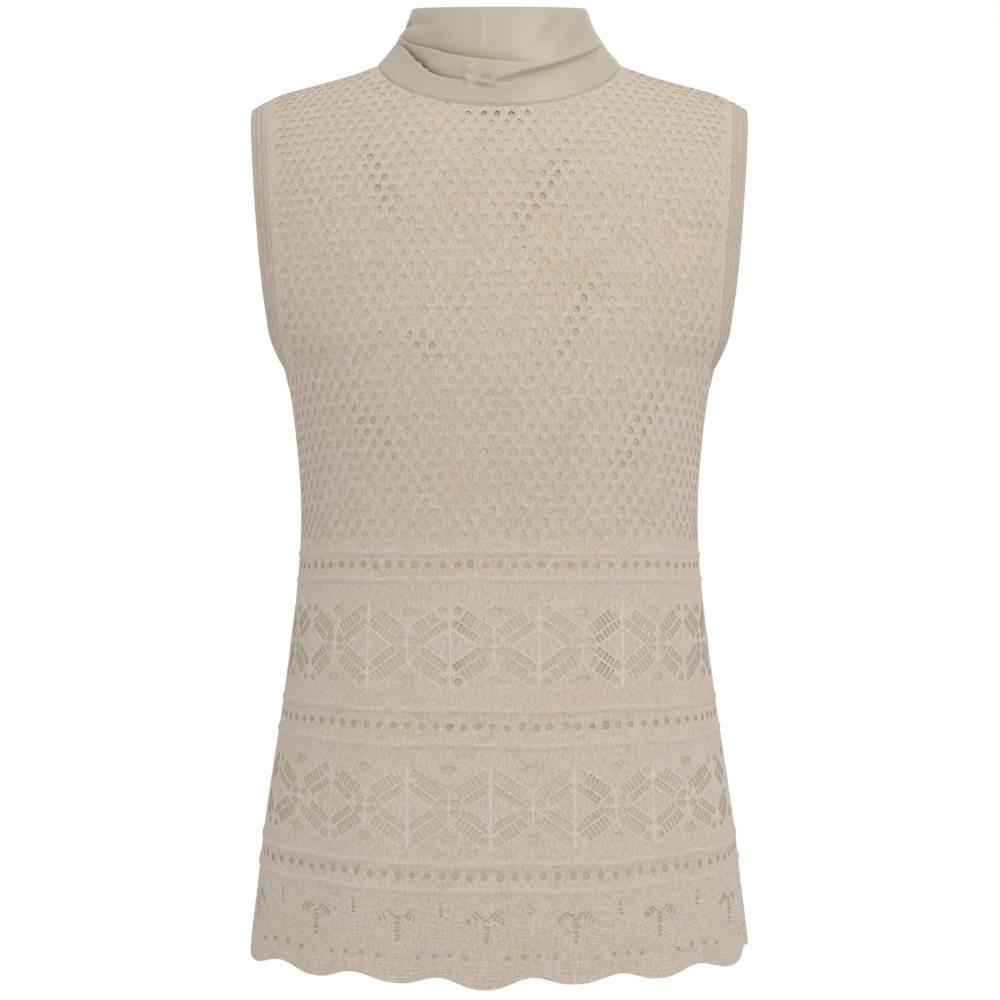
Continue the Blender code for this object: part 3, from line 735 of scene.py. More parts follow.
def lace_holes(side, settings, random):
    """Every gap of the lace bands, belts and border."""
    holes = []
    for upper, centre, lower, first, half_height in LACE_BANDS:
        for height in (upper, lower):
            for phase in np.arange(-MOTIFS_PER_PANEL, MOTIFS_PER_PANEL) + first:
                across = motif_across(phase, height, side)
                holes.append(on_row(oval(*BAND_GAP, 16) + (across, height), height, side))
        for middle, half_width in band_diamonds(centre, first, side):
            for hand in (-1, 1):
                for up in (-1, 1):
                    for gap in quarter_gaps(half_width, half_height):
                        gap = gap + random.normal(0, LACE_JITTER, 2)
                        holes.append(mirrored_quarter(gap, hand, up, middle, centre, side))
    pitch = settings.belt_spacing
    jitter_across, jitter_up = BELT_EYELET_JITTER
    for belt, (height, _) in enumerate(BELTS):
        count = int(half_girth(height, side)[0] / pitch) + 1
        for index in range(-count, count + 1):
            across = (index + 0.5 * (belt % 2)) * pitch + random.normal(0, jitter_across)
            size = 1 + random.normal(0, BELT_EYELET_UNEVENNESS, 2)
            up = height + BELT_EYELET_RISE + random.normal(0, jitter_up)
            holes.append(on_row(oval(*BELT_EYELET, 10) * size + (across, up), height, side))
    return holes + hem_holes(side, random)


def apart(holes, clearance):
    """Leaves out each hole that comes too near one before it."""
    cells, kept = {}, []
    for hole in holes:
        points = resample(hole, 0.0009)
        keys = np.floor(points / 0.002).astype(int)
        near = [q for x, y in set(map(tuple, keys)) for dx in (-1, 0, 1) for dy in (-1, 0, 1)
                for q in cells.get((x + dx, y + dy), ())]
        if near:
            gap = np.linalg.norm(points[:, None] - np.array(near)[None], axis=2).min()
            if gap < clearance:
                continue
        for key, point in zip(map(tuple, keys), points):
            cells.setdefault(key, []).append(point)
        kept.append(hole)
    return kept


def border_ladder(across, top, rungs, spacing, length, shortening, width):
    """One ladder's rungs in the border, each as across, up, length, width and turn."""
    return [(across, top - rung * spacing, length - shortening * rung, width, 0.0) for rung in range(rungs)]


def border_fan():
    """Rays on both sides of a ladder's top, each as across, up, length, width and turn."""
    rays = []
    for hand in (-1, 1):
        for ray in range(HEM_FAN_RAYS):
            across, up, length, turn = (first + change * ray for first, change in HEM_FAN)
            turn = hand * (math.radians(turn) - math.pi / 2) + math.pi / 2
            rays.append((hand * across, HEM_LADDERS[0][0] + up, length, HEM_FAN_WIDTH, turn))
    return rays


def hem_holes(side, random):
    """Ladder slits, fans and eyelets of the scalloped border."""
    holes = []
    for phase in np.arange(-MOTIFS_PER_PANEL // 2, MOTIFS_PER_PANEL // 2 + 2) - HEM_TURN:
        middle = motif_across(phase, HEM_Z, side)
        pitch = motif_across(phase + 0.5, HEM_Z, side) - motif_across(phase - 0.5, HEM_Z, side)
        cusp = pitch / 2
        spots = border_ladder(0.0, *HEM_LADDERS[0]) + border_fan() + border_ladder(cusp, *HEM_LADDERS[1])
        for place in HEM_EYELET_PLACES:
            up = HEM_EYELETS - HEM_EYELET_BOW * place * place
            spots.append((cusp + place * pitch, up, *HEM_EYELET_SIZE, 0.0))
        for across, up, length, width, turn in spots:
            centre = np.array((middle + across, up)) + random.normal(0, HEM_JITTER, 2)
            half = np.array((math.cos(turn), math.sin(turn))) * length / 2
            holes.append(on_row(slit(centre - half, centre + half, width), up, side))
    return holes


def welt_level(across, height, side):
    """Where a welt runs: a knit row, pulled a little up and down."""
    wave = 0.00045 * np.sin(across * 61 + height * 300) + 0.00035 * np.sin(across * 139 - height * 700)
    return lifted(across, height, side) + wave


def welt_relief(flat, side):
    """How far the welts stand out."""
    out = np.zeros(len(flat))
    for height, spacing in BELTS:
        for place in (spacing / 2, -spacing / 2):
            level = welt_level(flat[:, 0], height + place, side)
            share = np.clip(np.abs(flat[:, 1] - level) / (WELT_WIDTH / 2), 0, 1)
            out += 0.5 * (1 + np.cos(math.pi * share))
    return out * (1 - 0.7 * np.clip(np.abs(flat[:, 0]) / half_girth(flat[:, 1], side), 0, 1) ** 8)


def hem_rows(flat, side):
    """The border's ripples: how far along them a point is, and how strong they are there."""
    strength = np.clip((BELTS[2][0] - 0.011 - flat[:, 1]) / 0.004, 0, 1)
    fade = np.clip((flat[:, 1] + 0.541) / (HEM_Z + 0.541), 0, 1)
    phase = motif_phase(flat[:, 0], flat[:, 1], side) + HEM_TURN
    point = np.abs(phase - np.round(phase))
    follow = flat[:, 1] - lifted(flat[:, 0], HEM_Z, side) - side_rise(flat[:, 0], side) * fade
    umbrella = UMBRELLA_DEPTH * np.sin(math.pi * np.clip(fade / 0.8, 0, 1)) * (1 - np.exp(-point * 5))
    follow += umbrella - np.clip((fade - 0.6) / 0.4, 0, 1) * hem_wave(flat[:, 0], side)
    return follow / RIPPLE_PITCH, strength


def diamond_place(flat, side):
    """Each point's place in its diamond: motifs across, and half heights up from the middle."""
    motif, level = np.zeros(len(flat)), np.full(len(flat), 2.0)
    for _, centre, _, first, half_height in LACE_BANDS:
        up = (flat[:, 1] - lifted(flat[:, 0], centre, side)) / half_height
        phase = motif_phase(flat[:, 0], np.full(len(flat), centre), side) - first
        near_by = np.abs(up) < 1.6
        motif[near_by] = phase[near_by]
        level[near_by] = up[near_by]
    return motif, level


def lace_outline(side):
    """The edge of the lower body: the hem, the side seams and the welt below the net."""
    hem_end = hem_height(half_girth(HEM_Z, side), side)
    hem_across = half_girth(hem_end, side)[0] * np.linspace(-1, 1, 8 * 24 + 1)
    hem = np.stack([hem_across, hem_height(hem_across, side)], axis=1)
    heights = np.linspace(hem[-1, 1], NET_TOP_OF_WELT, 110)
    seam = np.stack([half_girth(heights, side), heights], axis=1)[1:]
    across = np.linspace(half_girth(NET_TOP_OF_WELT, side)[0], 0, 60)
    top = np.stack([across, lifted(across, NET_TOP_OF_WELT, side)], axis=1)[1:]
    right = np.concatenate([seam, top])
    return np.concatenate([hem, right, right[:-1][::-1] * (-1, 1)])


def welt_lines(side):
    """Lines along both welts of each belt, which keep their tops round."""
    lines = []
    for height, spacing in BELTS:
        for place in (-1, 1):
            for step in (-1, -0.5, 0, 0.5, 1):
                level = height + place * spacing / 2 + step * WELT_WIDTH / 2
                reach = half_girth(level, side)[0] - 0.002
                run = np.linspace(-reach, reach, 170)
                lines.append(np.stack([run, welt_level(run, level, side)], axis=1))
    return lines


def build_lace(name, side, settings, material):
    """The lace of the lower body: belts, diamond bands and the scalloped border."""
    random = np.random.RandomState(17 if side == FRONT else 18)
    outline = lace_outline(side)
    holes = lace_holes(side, settings, random)
    middles = np.array([h.mean(axis=0) for h in holes])
    spans = np.array([np.abs(h - m).max() for h, m in zip(holes, middles)])
    edge = resample(outline, 0.001)
    clear = inside(middles, outline) & (gap_to(middles, edge) > spans + LACE_EDGE_CLEARANCE)
    holes = apart([h for h, ok in zip(holes, clear) if ok], GAP_CLEARANCE)
    lines = welt_lines(side)
    taken = np.concatenate([resample(outline, 0.0015)] + filled(holes) + lines)
    loose = fill_points(outline, LACE_FILL, taken, NET_FILL_CLEARANCE)
    flat, triangles, hole_of = triangulate(outline, holes, lines, loose)
    strand = puff(flat, hole_of)
    motif, level = diamond_place(flat, side)
    welt = welt_relief(flat, side)
    rows, border = hem_rows(flat, side)
    raised = settings.strand_puff * strand - RIM_DEPTH * (1 - strand) + settings.welt_height * welt
    raised += RIPPLE_HEIGHT * border * np.cos(2 * math.pi * rows / 2)
    # The 'light' value paints a highlight on the raised welts.
    layers = {"strand": strand, "light": 0.35 * welt, "rows": rows, "border": border}
    layers.update({"motif": motif, "level": level})
    return add_panel(name, side, flat, triangles, raised, 0.0, settings.knit_wall, layers, material)


# Lining

LINING_INSET = 0.00058
LINING_WALL = 0.0007
LINING_HEM_Z = -0.5846
LINING_NECK_DROP = 0.0004
# Painted shade on the lining, seen through the gaps: behind the belts, towards the side seams below the
# net, and behind the border.
BELT_SHADE = 0.55
SIDE_SHADE = 0.5
BORDER_SHADE = 0.40
BORDER_TOP = -0.5440
# Soft troughs of the lining; each also gets painted shade along it.
LINING_CREASES = (
    # across and up at one end, across and up at the other, depth, half width
    (-0.086, -0.070, -0.068, -0.118, -0.0005, 0.0050),
    (-0.057, -0.193, -0.036, -0.209, -0.0005, 0.0044),
    (0.042, -0.078, 0.012, -0.128, -0.0006, 0.0050),
    (0.060, -0.152, 0.038, -0.212, -0.0005, 0.0048),
    (-0.105, -0.230, -0.060, -0.275, -0.0003, 0.0070),
    (0.110, -0.225, 0.072, -0.285, -0.0003, 0.0070),
    (-0.020, -0.330, -0.034, -0.460, -0.0004, 0.0060),
    (0.070, -0.350, 0.058, -0.500, -0.0004, 0.0060),
)


def crease(flat, x0, y0, x1, y1, height, spread):
    """A soft ridge along a line, fading at its ends."""
    start, run = np.array((x0, y0)), np.array((x1 - x0, y1 - y0))
    share = np.clip(((flat - start) @ run) / (run @ run), 0, 1)
    gap = np.linalg.norm(flat - start - share[:, None] * run, axis=1)
    fade = 0.35 + 0.65 * np.sin(math.pi * np.clip(share, 0.02, 0.98))
    return height * fade * np.exp(-(gap / spread) ** 2)


def build_lining(name, side, material):
    """The plain cloth behind the openwork, with soft creases of its own, and painted shade in the creases,
    behind the belts, at the sides and behind the border.
    """
    reach = half_girth(LINING_HEM_Z, side)[0]
    across = np.linspace(0, reach, 60)
    hem = np.stack([across, LINING_HEM_Z + side_rise(across, side)], axis=1)
    half = np.concatenate([hem[:-1], upper_edge(side, hem[-1, 1], TRIM_WIDTH * 0.8, LINING_NECK_DROP, 60)])
    outline = mirrored(half)
    loose = fill_points(outline, 0.0045, resample(outline, 0.003), 0.0025)
    flat, triangles, _ = triangulate(outline, [], [], loose)
    raised = np.zeros(len(flat))
    for row in LINING_CREASES:
        raised += crease(flat * (-side, 1), *row)
    top = neckline(side, 3)[-1, 1] - 0.0052
    # A trough under the middle of the collar, with a painted shadow of the collar along it.
    raised += crease(flat, -0.021, top, 0.021, top, -0.0008, 0.0045)
    # Painted shade, kept in the 'light' value: from the troughs' depth, then behind the belts, at the sides
    # and behind the border.
    shade = np.clip(-raised / 0.0015, 0, 1)
    for height, _ in BELTS:
        shade += BELT_SHADE * np.exp(-((flat[:, 1] - lifted(flat[:, 0], height, side)) / 0.005) ** 2)
    below_net = np.clip((NET_BOTTOM - flat[:, 1]) / 0.02, 0, 1)
    shade += SIDE_SHADE * below_net * np.clip(np.abs(flat[:, 0]) / half_girth(flat[:, 1], side), 0, 1) ** 2
    shade += BORDER_SHADE * np.clip((BORDER_TOP - flat[:, 1]) / 0.005, 0, 1)
    layers = {"strand": np.ones(len(flat)), "light": np.clip(shade, 0, 1)}
    return add_panel(name, side, flat, triangles, raised, LINING_INSET, LINING_WALL, layers, material)


# Armhole trims and seams

TRIM_RIBS = 3
TRIM_WALL = 0.0018
TRIM_SEAM_ROOM = 0.0002
TRIM_LOOP = 0.52
SEAM_INSET = 0.0005
SEAM_RADIUS = 0.0007
SEAM_ABOVE_HEM = 0.003
TUBE_SIDES = 8


def build_trim(name, hand, settings, material):
    """A ribbed band round an armhole, from the panels' edges to its free edge."""
    steps = 8 * TRIM_RIBS
    rows, flats, raised = [], [], []
    for step in range(steps + 1):
        distance = (TRIM_WIDTH - TRIM_SEAM_ROOM) * (1 - step / steps)
        front = lay(armhole_inset(FRONT, distance, 50, 60), FRONT)
        back = lay(armhole_inset(BACK, distance, 50, 60), BACK)
        loop = np.concatenate([front, back[1:-1][::-1]])
        loop[0] = (front[0] + back[0]) / 2
        rows.append(loop)
        run = np.linspace(0, TRIM_LOOP, len(loop))
        flats.append(np.stack([np.full(len(loop), distance), run], axis=1))
        bulge = abs(math.sin(math.pi * TRIM_RIBS * step / steps)) ** 0.7
        edge = math.sin(math.pi * min(1.0, (step / steps) * 1.02)) ** 0.3
        raised.append(np.full(len(loop), settings.rib_height * bulge * edge))
    surface = np.concatenate(rows) * (hand, 1, 1)
    triangles = grid_faces(steps + 1, len(rows[0]), True)
    if hand > 0:
        triangles = triangles[:, ::-1]
    normals = point_normals(surface, triangles)
    raised = np.concatenate(raised)
    outer = surface + raised[:, None] * normals
    inner = surface - TRIM_WALL * normals
    layers = {"strand": np.clip(raised / settings.rib_height, 0, 1), "light": np.zeros(len(surface))}
    return add_wall(name, outer, inner, triangles, np.concatenate(flats), layers, material)


def tube(points, radius):
    """Rings of points round a path, for a thin cord."""
    tangent = np.gradient(points, axis=0)
    tangent /= np.linalg.norm(tangent, axis=1)[:, None]
    side = np.cross(tangent, (0.31, 0.77, 0.55))
    side /= np.linalg.norm(side, axis=1)[:, None]
    other = np.cross(tangent, side)
    rings = []
    for turn in 2 * math.pi * np.arange(TUBE_SIDES) / TUBE_SIDES:
        rings.append(points + radius * (math.cos(turn) * side + math.sin(turn) * other))
    return np.stack(rings, axis=1).reshape(-1, 3)


def seam_paths():
    """The side seams and shoulder seams, down the middle of the gap between panels."""
    low = hem_height(half_girth(HEM_Z, FRONT), FRONT)[0] + SEAM_ABOVE_HEM
    heights = np.linspace(low, UNDERARM_Z - TRIM_WIDTH, 160)
    x = smooth(BODY_SECTIONS, 1, heights) / np.sin(armhole_angle(heights)) ** (2 / SECTION_SQUARENESS)
    side = np.stack([x - SEAM_INSET, np.zeros(len(x)), heights], axis=1)
    x = np.linspace(NECK_HALF_WIDTH + 0.001, smooth(BODY_SECTIONS, 1, SHOULDER_END_Z) - TRIM_WIDTH, 60)
    shoulder = np.stack([x, np.full(len(x), SHOULDER_Y), shoulder_height(x)], axis=1)
    return side, shoulder


def build_seams(name, material):
    """The side seams and shoulder seams, as one piece."""
    points, faces, flats = [], [], []
    count = 0
    for path in seam_paths():
        for hand in (-1, 1):
            line = path * (hand, 1, 1)
            rings = tube(line, SEAM_RADIUS)
            points.append(rings)
            triangles = grid_faces(len(line), TUBE_SIDES, True)
            faces.append(triangles + count)
            steps = np.linalg.norm(np.diff(line, axis=0), axis=1)
            run = np.repeat(np.concatenate([[0], np.cumsum(steps)]), TUBE_SIDES)
            flats.append(np.stack([np.tile(np.arange(TUBE_SIDES) * 0.0004, len(line)), run], axis=1))
            count += len(rings)
    points = np.concatenate(points)
    layers = {"strand": np.full(count, 0.6), "light": np.zeros(count)}
    return add_mesh(name, points, np.concatenate(faces), np.concatenate(flats), layers, material)


# Collar

COLLAR_TOP_HALF_WIDTH = 0.0581
COLLAR_TOP_HALF_DEPTH = 0.0490
COLLAR_TOP_Z = (0.0223, 0.0336, 0.0370)
COLLAR_HOLLOW = 0.0035
COLLAR_WALL = 0.0015
COLLAR_COLUMNS = 440
COLLAR_ROWS = (18, 22, 26)
COLLAR_INSIDE_ROWS = 22
COLLAR_SEAM_SHARE = 0.02
COLLAR_RADIUS = 0.065
# Recess depth at which a fold's painted shade is full, and the place and spread of the warmer painted shade
# round the left pocket.
POCKET_DEPTH = 0.0042
POCKET_ANGLE = -50.0
POCKET_SPREAD = 22.0
STITCH_COUNT = 230
STITCH_SHARE = 0.022
STITCH_HALF_LENGTH = 0.00062
STITCH_RADIUS = 0.00022
STITCH_STANDOFF = 0.0007
STITCH_FORM = (
    # place along the stitch, thickness there
    (-1, 0.15),
    (-0.6, 0.8),
    (0, 1.0),
    (0.6, 0.8),
    (1, 0.15),
)
FOLD_LINES = (
    # angle from the front, height of the band's upper edge, height of the roll's upper edge
    (-180.0, 0.0130, 0.0230),
    (-130.0, 0.0120, 0.0215),
    (-105.0, 0.0115, 0.0190),
    (-88.0, 0.0090, 0.0158),
    (-74.0, 0.0050, 0.0094),
    (-64.0, 0.0004, 0.0048),
    (-55.5, -0.0061, 0.0016),
    (-46.5, -0.0126, -0.0013),
    (-39.5, -0.0183, -0.0038),
    (-31.5, -0.0225, -0.0070),
    (-18.5, -0.0262, -0.0107),
    (-5.0, -0.0276, -0.0133),
    (5.0, -0.0244, -0.0143),
    (12.0, -0.0215, -0.0148),
    (23.0, -0.0178, -0.0140),
    (34.0, -0.0134, -0.0090),
    (45.5, -0.0085, -0.0030),
    (57.5, -0.0034, 0.0030),
    (76.5, 0.0050, 0.0120),
    (95.0, 0.0100, 0.0190),
    (130.0, 0.0125, 0.0215),
    (180.0, 0.0130, 0.0230),
)
FOLD_DEPTHS = (
    # angle, band out below its edge, roll in above it, roll out below its own edge, stand in above it
    (-180.0, 0.0012, 0.0014, 0.0014, 0.0012),
    (-120.0, 0.0012, 0.0014, 0.0014, 0.0012),
    (-90.0, 0.0006, 0.0010, 0.0012, 0.0012),
    (-72.0, 0.0010, 0.0030, 0.0018, 0.0022),
    (-60.0, 0.0018, 0.0044, 0.0022, 0.0034),
    (-48.0, 0.0020, 0.0050, 0.0028, 0.0042),
    (-36.0, 0.0018, 0.0042, 0.0032, 0.0046),
    (-26.0, 0.0010, 0.0032, 0.0034, 0.0044),
    (-16.0, 0.0002, 0.0014, 0.0034, 0.0040),
    (-6.0, -0.0006, -0.0010, 0.0030, 0.0034),
    (4.0, -0.0016, -0.0024, 0.0022, 0.0024),
    (14.0, -0.0022, -0.0032, 0.0013, 0.0012),
    (26.0, -0.0024, -0.0034, 0.0002, 0.0002),
    (42.0, -0.0020, -0.0028, 0.0000, 0.0000),
    (58.0, -0.0017, -0.0022, 0.0000, 0.0000),
    (74.0, -0.0011, -0.0014, 0.0000, 0.0000),
    (90.0, -0.0002, -0.0008, 0.0006, 0.0006),
    (120.0, 0.0010, 0.0012, 0.0012, 0.0012),
    (180.0, 0.0012, 0.0014, 0.0014, 0.0012),
)
FOLD_REACH = (0.0042, 0.0042, 0.0048, 0.0050)
LIP_ROUNDING = 0.0010
SIDE_CALM_ANGLE = 88.0
SIDE_CALM_SPREAD = 13.0
COLLAR_CREASES = (
    # angle and height at one end, angle and height at the other, how far out, half width in metres
    (-14.0, -0.0170, -18.0, -0.0235, 0.0030, 0.0021),
    (-18.0, -0.0235, -14.5, -0.0285, 0.0026, 0.0021),
    (-11.0, -0.0235, -3.0, -0.0262, -0.0024, 0.0022),
    (-14.5, -0.0292, -2.0, -0.0312, -0.0019, 0.0010),
    (-2.0, -0.0312, 12.0, -0.0316, -0.0009, 0.0010),
    (-12.0, -0.0272, 2.0, -0.0296, 0.0017, 0.0013),
    (-90.0, 0.0204, -72.0, 0.0196, -0.0050, 0.0011),
    (-69.0, 0.0190, -44.0, 0.0142, -0.0010, 0.0026),
    (-84.0, 0.0150, -56.0, 0.0105, 0.0015, 0.0036),
    (-50.0, 0.0080, -34.0, 0.0040, -0.0010, 0.0034),
    (-11.0, 0.0230, -9.5, -0.0090, 0.0007, 0.0020),
    (-17.0, 0.0230, -16.0, -0.0090, -0.0006, 0.0026),
    (20.0, -0.0010, 43.0, 0.0200, -0.0011, 0.0034),
    (28.0, -0.0040, 54.0, 0.0170, 0.0009, 0.0040),
    (44.0, 0.0010, 70.0, 0.0150, -0.0008, 0.0034),
    (-14.5, -0.0325, 10.0, -0.0400, 0.0008, 0.0018),
    (-8.0, -0.0355, 14.0, -0.0405, -0.0006, 0.0018),
    (52.0, -0.0120, 62.0, -0.0060, -0.0007, 0.0028),
    (110.0, 0.0220, 165.0, 0.0070, 0.0014, 0.0040),
    (-160.0, 0.0230, -110.0, 0.0080, 0.0013, 0.0040),
    (140.0, 0.0300, 175.0, 0.0180, -0.0010, 0.0034),
)


def around(angle, front, side_value, back):
    """A value that goes smoothly round the neck, from its values in front, at the sides and behind."""
    facing = np.cos(angle)
    end = np.where(facing > 0, front, back)
    return side_value + (end - side_value) * np.abs(facing)


def collar_base(angle):
    """The ring that the collar is sewn to, on the panels' necklines."""
    x = NECK_HALF_WIDTH * np.sin(angle)
    facing = np.cos(angle)
    front = NECK_POINT_Z - FRONT_NECK_DROP * np.abs(facing)
    back = NECK_POINT_Z - BACK_NECK_DROP * np.abs(facing)
    y = np.where(facing > 0, depth(x, front, FRONT), depth(x, back, BACK))
    return np.stack([x, y, np.where(facing > 0, front, back)], axis=1)


def collar_top(angle):
    """The ring at the collar's upper edge."""
    x = COLLAR_TOP_HALF_WIDTH * np.sin(angle)
    return np.stack([x, -COLLAR_TOP_HALF_DEPTH * np.cos(angle), around(angle, *COLLAR_TOP_Z)], axis=1)


def collar_point(angle, share):
    """A point of the collar between its base, share 0, and its top, share 1."""
    base, top = collar_base(angle), collar_top(angle)
    point = base + (top - base) * share[:, None]
    point[:, 0] -= 4 * share * (1 - share) * COLLAR_HOLLOW * np.abs(np.sin(angle)) * np.sin(angle)
    return point


def collar_grid():
    """Angles and shares of the collar's rows, which follow its two fold lines."""
    angle = 2 * math.pi * np.arange(COLLAR_COLUMNS) / COLLAR_COLUMNS - math.pi
    base, top = collar_base(angle)[:, 2], collar_top(angle)[:, 2]
    degrees = np.degrees(angle)
    marks = [np.zeros(len(angle))]
    for column in (1, 2):
        marks.append((smooth(FOLD_LINES, column, degrees) - base) / (top - base))
    marks.append(np.ones(len(angle)))
    rows, zone = [], []
    for index, count in enumerate(COLLAR_ROWS):
        t = 0.5 - 0.5 * np.cos(math.pi * np.linspace(0, 1, count))
        for step in t:
            low = marks[index] + (0.004 if index else 0)
            rows.append(low + (marks[index + 1] - 0.004 * (index < 2) - low) * step)
            zone.append(index)
    return angle, np.array(rows), np.array(zone), marks


def rounded(distance):
    """0 on a fold's edge, rising to 1 as its lip turns over."""
    return 1 - 0.85 * np.exp(-distance / LIP_ROUNDING)


def collar_relief(angle, share, zone, marks, length):
    """How far the collar's folds stand out, by the distance from each fold line."""
    degrees = np.degrees(angle)
    below1, above1, below2, above2 = (smooth(FOLD_DEPTHS, i, degrees) for i in (1, 2, 3, 4))
    first = np.abs(share - marks[1]) * length
    second = np.abs(share - marks[2]) * length
    band = below1 * np.exp(-first / FOLD_REACH[0]) * np.where(below1 > 0, rounded(first), 1)
    foot = -above1 * np.exp(-first / FOLD_REACH[1]) * np.where(above1 < 0, rounded(first), 1)
    crest = below2 * np.exp(-second / FOLD_REACH[2]) * rounded(second)
    stand = -above2 * np.exp(-second / FOLD_REACH[3])
    out = np.where(zone == 0, band, np.where(zone == 1, foot + crest, stand))
    calm = 0.72 * np.exp(-((np.abs(degrees) - SIDE_CALM_ANGLE) / SIDE_CALM_SPREAD) ** 2)
    return out * (1 - calm)


def build_collar(name, settings, material):
    """The collar's outside, folded in over its top edge and down again inside."""
    angle, rows, zone, marks = collar_grid()
    count, columns = rows.shape
    grid_angle = np.tile(angle, count)
    share = rows.ravel()
    surface = collar_point(grid_angle, share)
    length = np.linalg.norm(collar_top(grid_angle) - collar_base(grid_angle), axis=1)
    normals = point_normals(surface, grid_faces(count, columns, True))
    grid_zone = np.repeat(zone, columns)
    grid_marks = [np.tile(mark, count) for mark in marks]
    out = collar_relief(grid_angle, share, grid_zone, grid_marks, length)
    flat = np.stack([grid_angle * COLLAR_RADIUS, surface[:, 2]], axis=1)
    for a0, z0, a1, z1, height, spread in COLLAR_CREASES:
        ends = (math.radians(a0) * COLLAR_RADIUS, z0, math.radians(a1) * COLLAR_RADIUS, z1)
        out += settings.fold_depth * crease(flat, *ends, height, spread)
    # Painted shade in the folds' recesses and creases, strongest and warmest round the left pocket,
    # standing in for shade and warm bounced light between the satin's folds.
    from_pocket = (np.degrees(grid_angle) - POCKET_ANGLE) / POCKET_SPREAD
    painted_pocket_warmth = np.exp(-from_pocket ** 2) * (grid_zone == 1)
    shade = np.clip(-out / POCKET_DEPTH, 0, 1) * (0.6 + 0.6 * painted_pocket_warmth)
    at_seam = np.clip(share * length / 0.003, 0, 1)
    at_top = np.clip((1 - share) * length / 0.004, 0, 1)
    out = out * at_seam * at_top + settings.collar_puff * np.sqrt(at_seam * at_top)
    outer = surface + out[:, None] * normals
    rim = outer[-columns:]
    outward = normals[-columns:] * (1, 1, 0)
    outward /= np.linalg.norm(outward, axis=1)[:, None]
    rings = [outer]
    radius = COLLAR_WALL / 2
    for turn in np.radians(np.arange(30, 181, 30)):
        rings.append(rim - outward * radius * (1 - math.cos(turn)) + (0, 0, radius * math.sin(turn)))
    for step in np.linspace(0, 1, COLLAR_INSIDE_ROWS + 1)[1:]:
        level = 1 - (1 - COLLAR_SEAM_SHARE) * step
        relief = read_rows(np.full(columns, level), rows.T, out.reshape(count, columns).T)
        room = COLLAR_WALL - np.minimum(relief, 0)
        rings.append(collar_point(angle, np.full(columns, level)) - normals[-columns:] * room[:, None])
    points = np.concatenate(rings)
    total = len(points) // columns
    triangles = grid_faces(total, columns, True)
    closing = triangles[(triangles < columns).any(axis=1)]
    closing = np.where(closing < columns, closing + (total - 1) * columns, closing - columns)
    triangles = np.concatenate([triangles, closing])
    run = np.repeat(np.arange(total), columns) * 0.0011
    flat = np.stack([np.tile(angle * COLLAR_RADIUS, total), run], axis=1)
    # The painted shade, in the 'light' value, on the outside's points only.
    painted_fold_shade = np.concatenate([np.clip(shade, 0, 1), np.zeros(len(points) - len(shade))])
    layers = {"strand": np.ones(len(points)), "light": painted_fold_shade}
    return add_mesh(name, points, triangles, flat, layers, material, math.pi)


def build_stitches(name, material):
    """The row of small stitches that joins the collar to the knit."""
    count = STITCH_COUNT
    angle = 2 * math.pi * np.arange(count) / count
    base = collar_point(angle, np.full(count, STITCH_SHARE))
    ahead = collar_point(angle + 0.01, np.full(count, STITCH_SHARE)) - base
    ahead /= np.linalg.norm(ahead, axis=1)[:, None]
    up = collar_point(angle, np.full(count, 0.10)) - base
    up /= np.linalg.norm(up, axis=1)[:, None]
    out = np.cross(ahead, up)
    points, faces = [], []
    for index in range(count):
        ring_start = len(points)
        for along, size in STITCH_FORM:
            for turn in range(6):
                t = 2 * math.pi * turn / 6
                offset = out[index] * math.cos(t) + up[index] * math.sin(t)
                centre = base[index] + ahead[index] * along * STITCH_HALF_LENGTH
                points.append(centre + offset * size * STITCH_RADIUS + out[index] * STITCH_STANDOFF)
        faces.append(grid_faces(len(STITCH_FORM), 6, True) + ring_start)
    points = np.array(points)
    layers = {"strand": np.ones(len(points)), "light": np.zeros(len(points))}
    return add_mesh(name, points, np.concatenate(faces), points[:, [0, 2]], layers, material)


# Materials

DIAMOND_HALF_SIZE = (0.0262, 0.0252)
# Width of the painted highlight on a lace strand, and the strength of the painted highlight on a rung.
STRAND_LIGHT = 0.0008
RUNG_LIGHT = 0.45
# Tints towards which the painted shade of the lining's creases and the collar's folds darkens the cloth.
LINING_PAINTED_SHADE = (0.66, 0.60, 0.50)
SATIN_PAINTED_SHADE = (0.70, 0.50, 0.27)


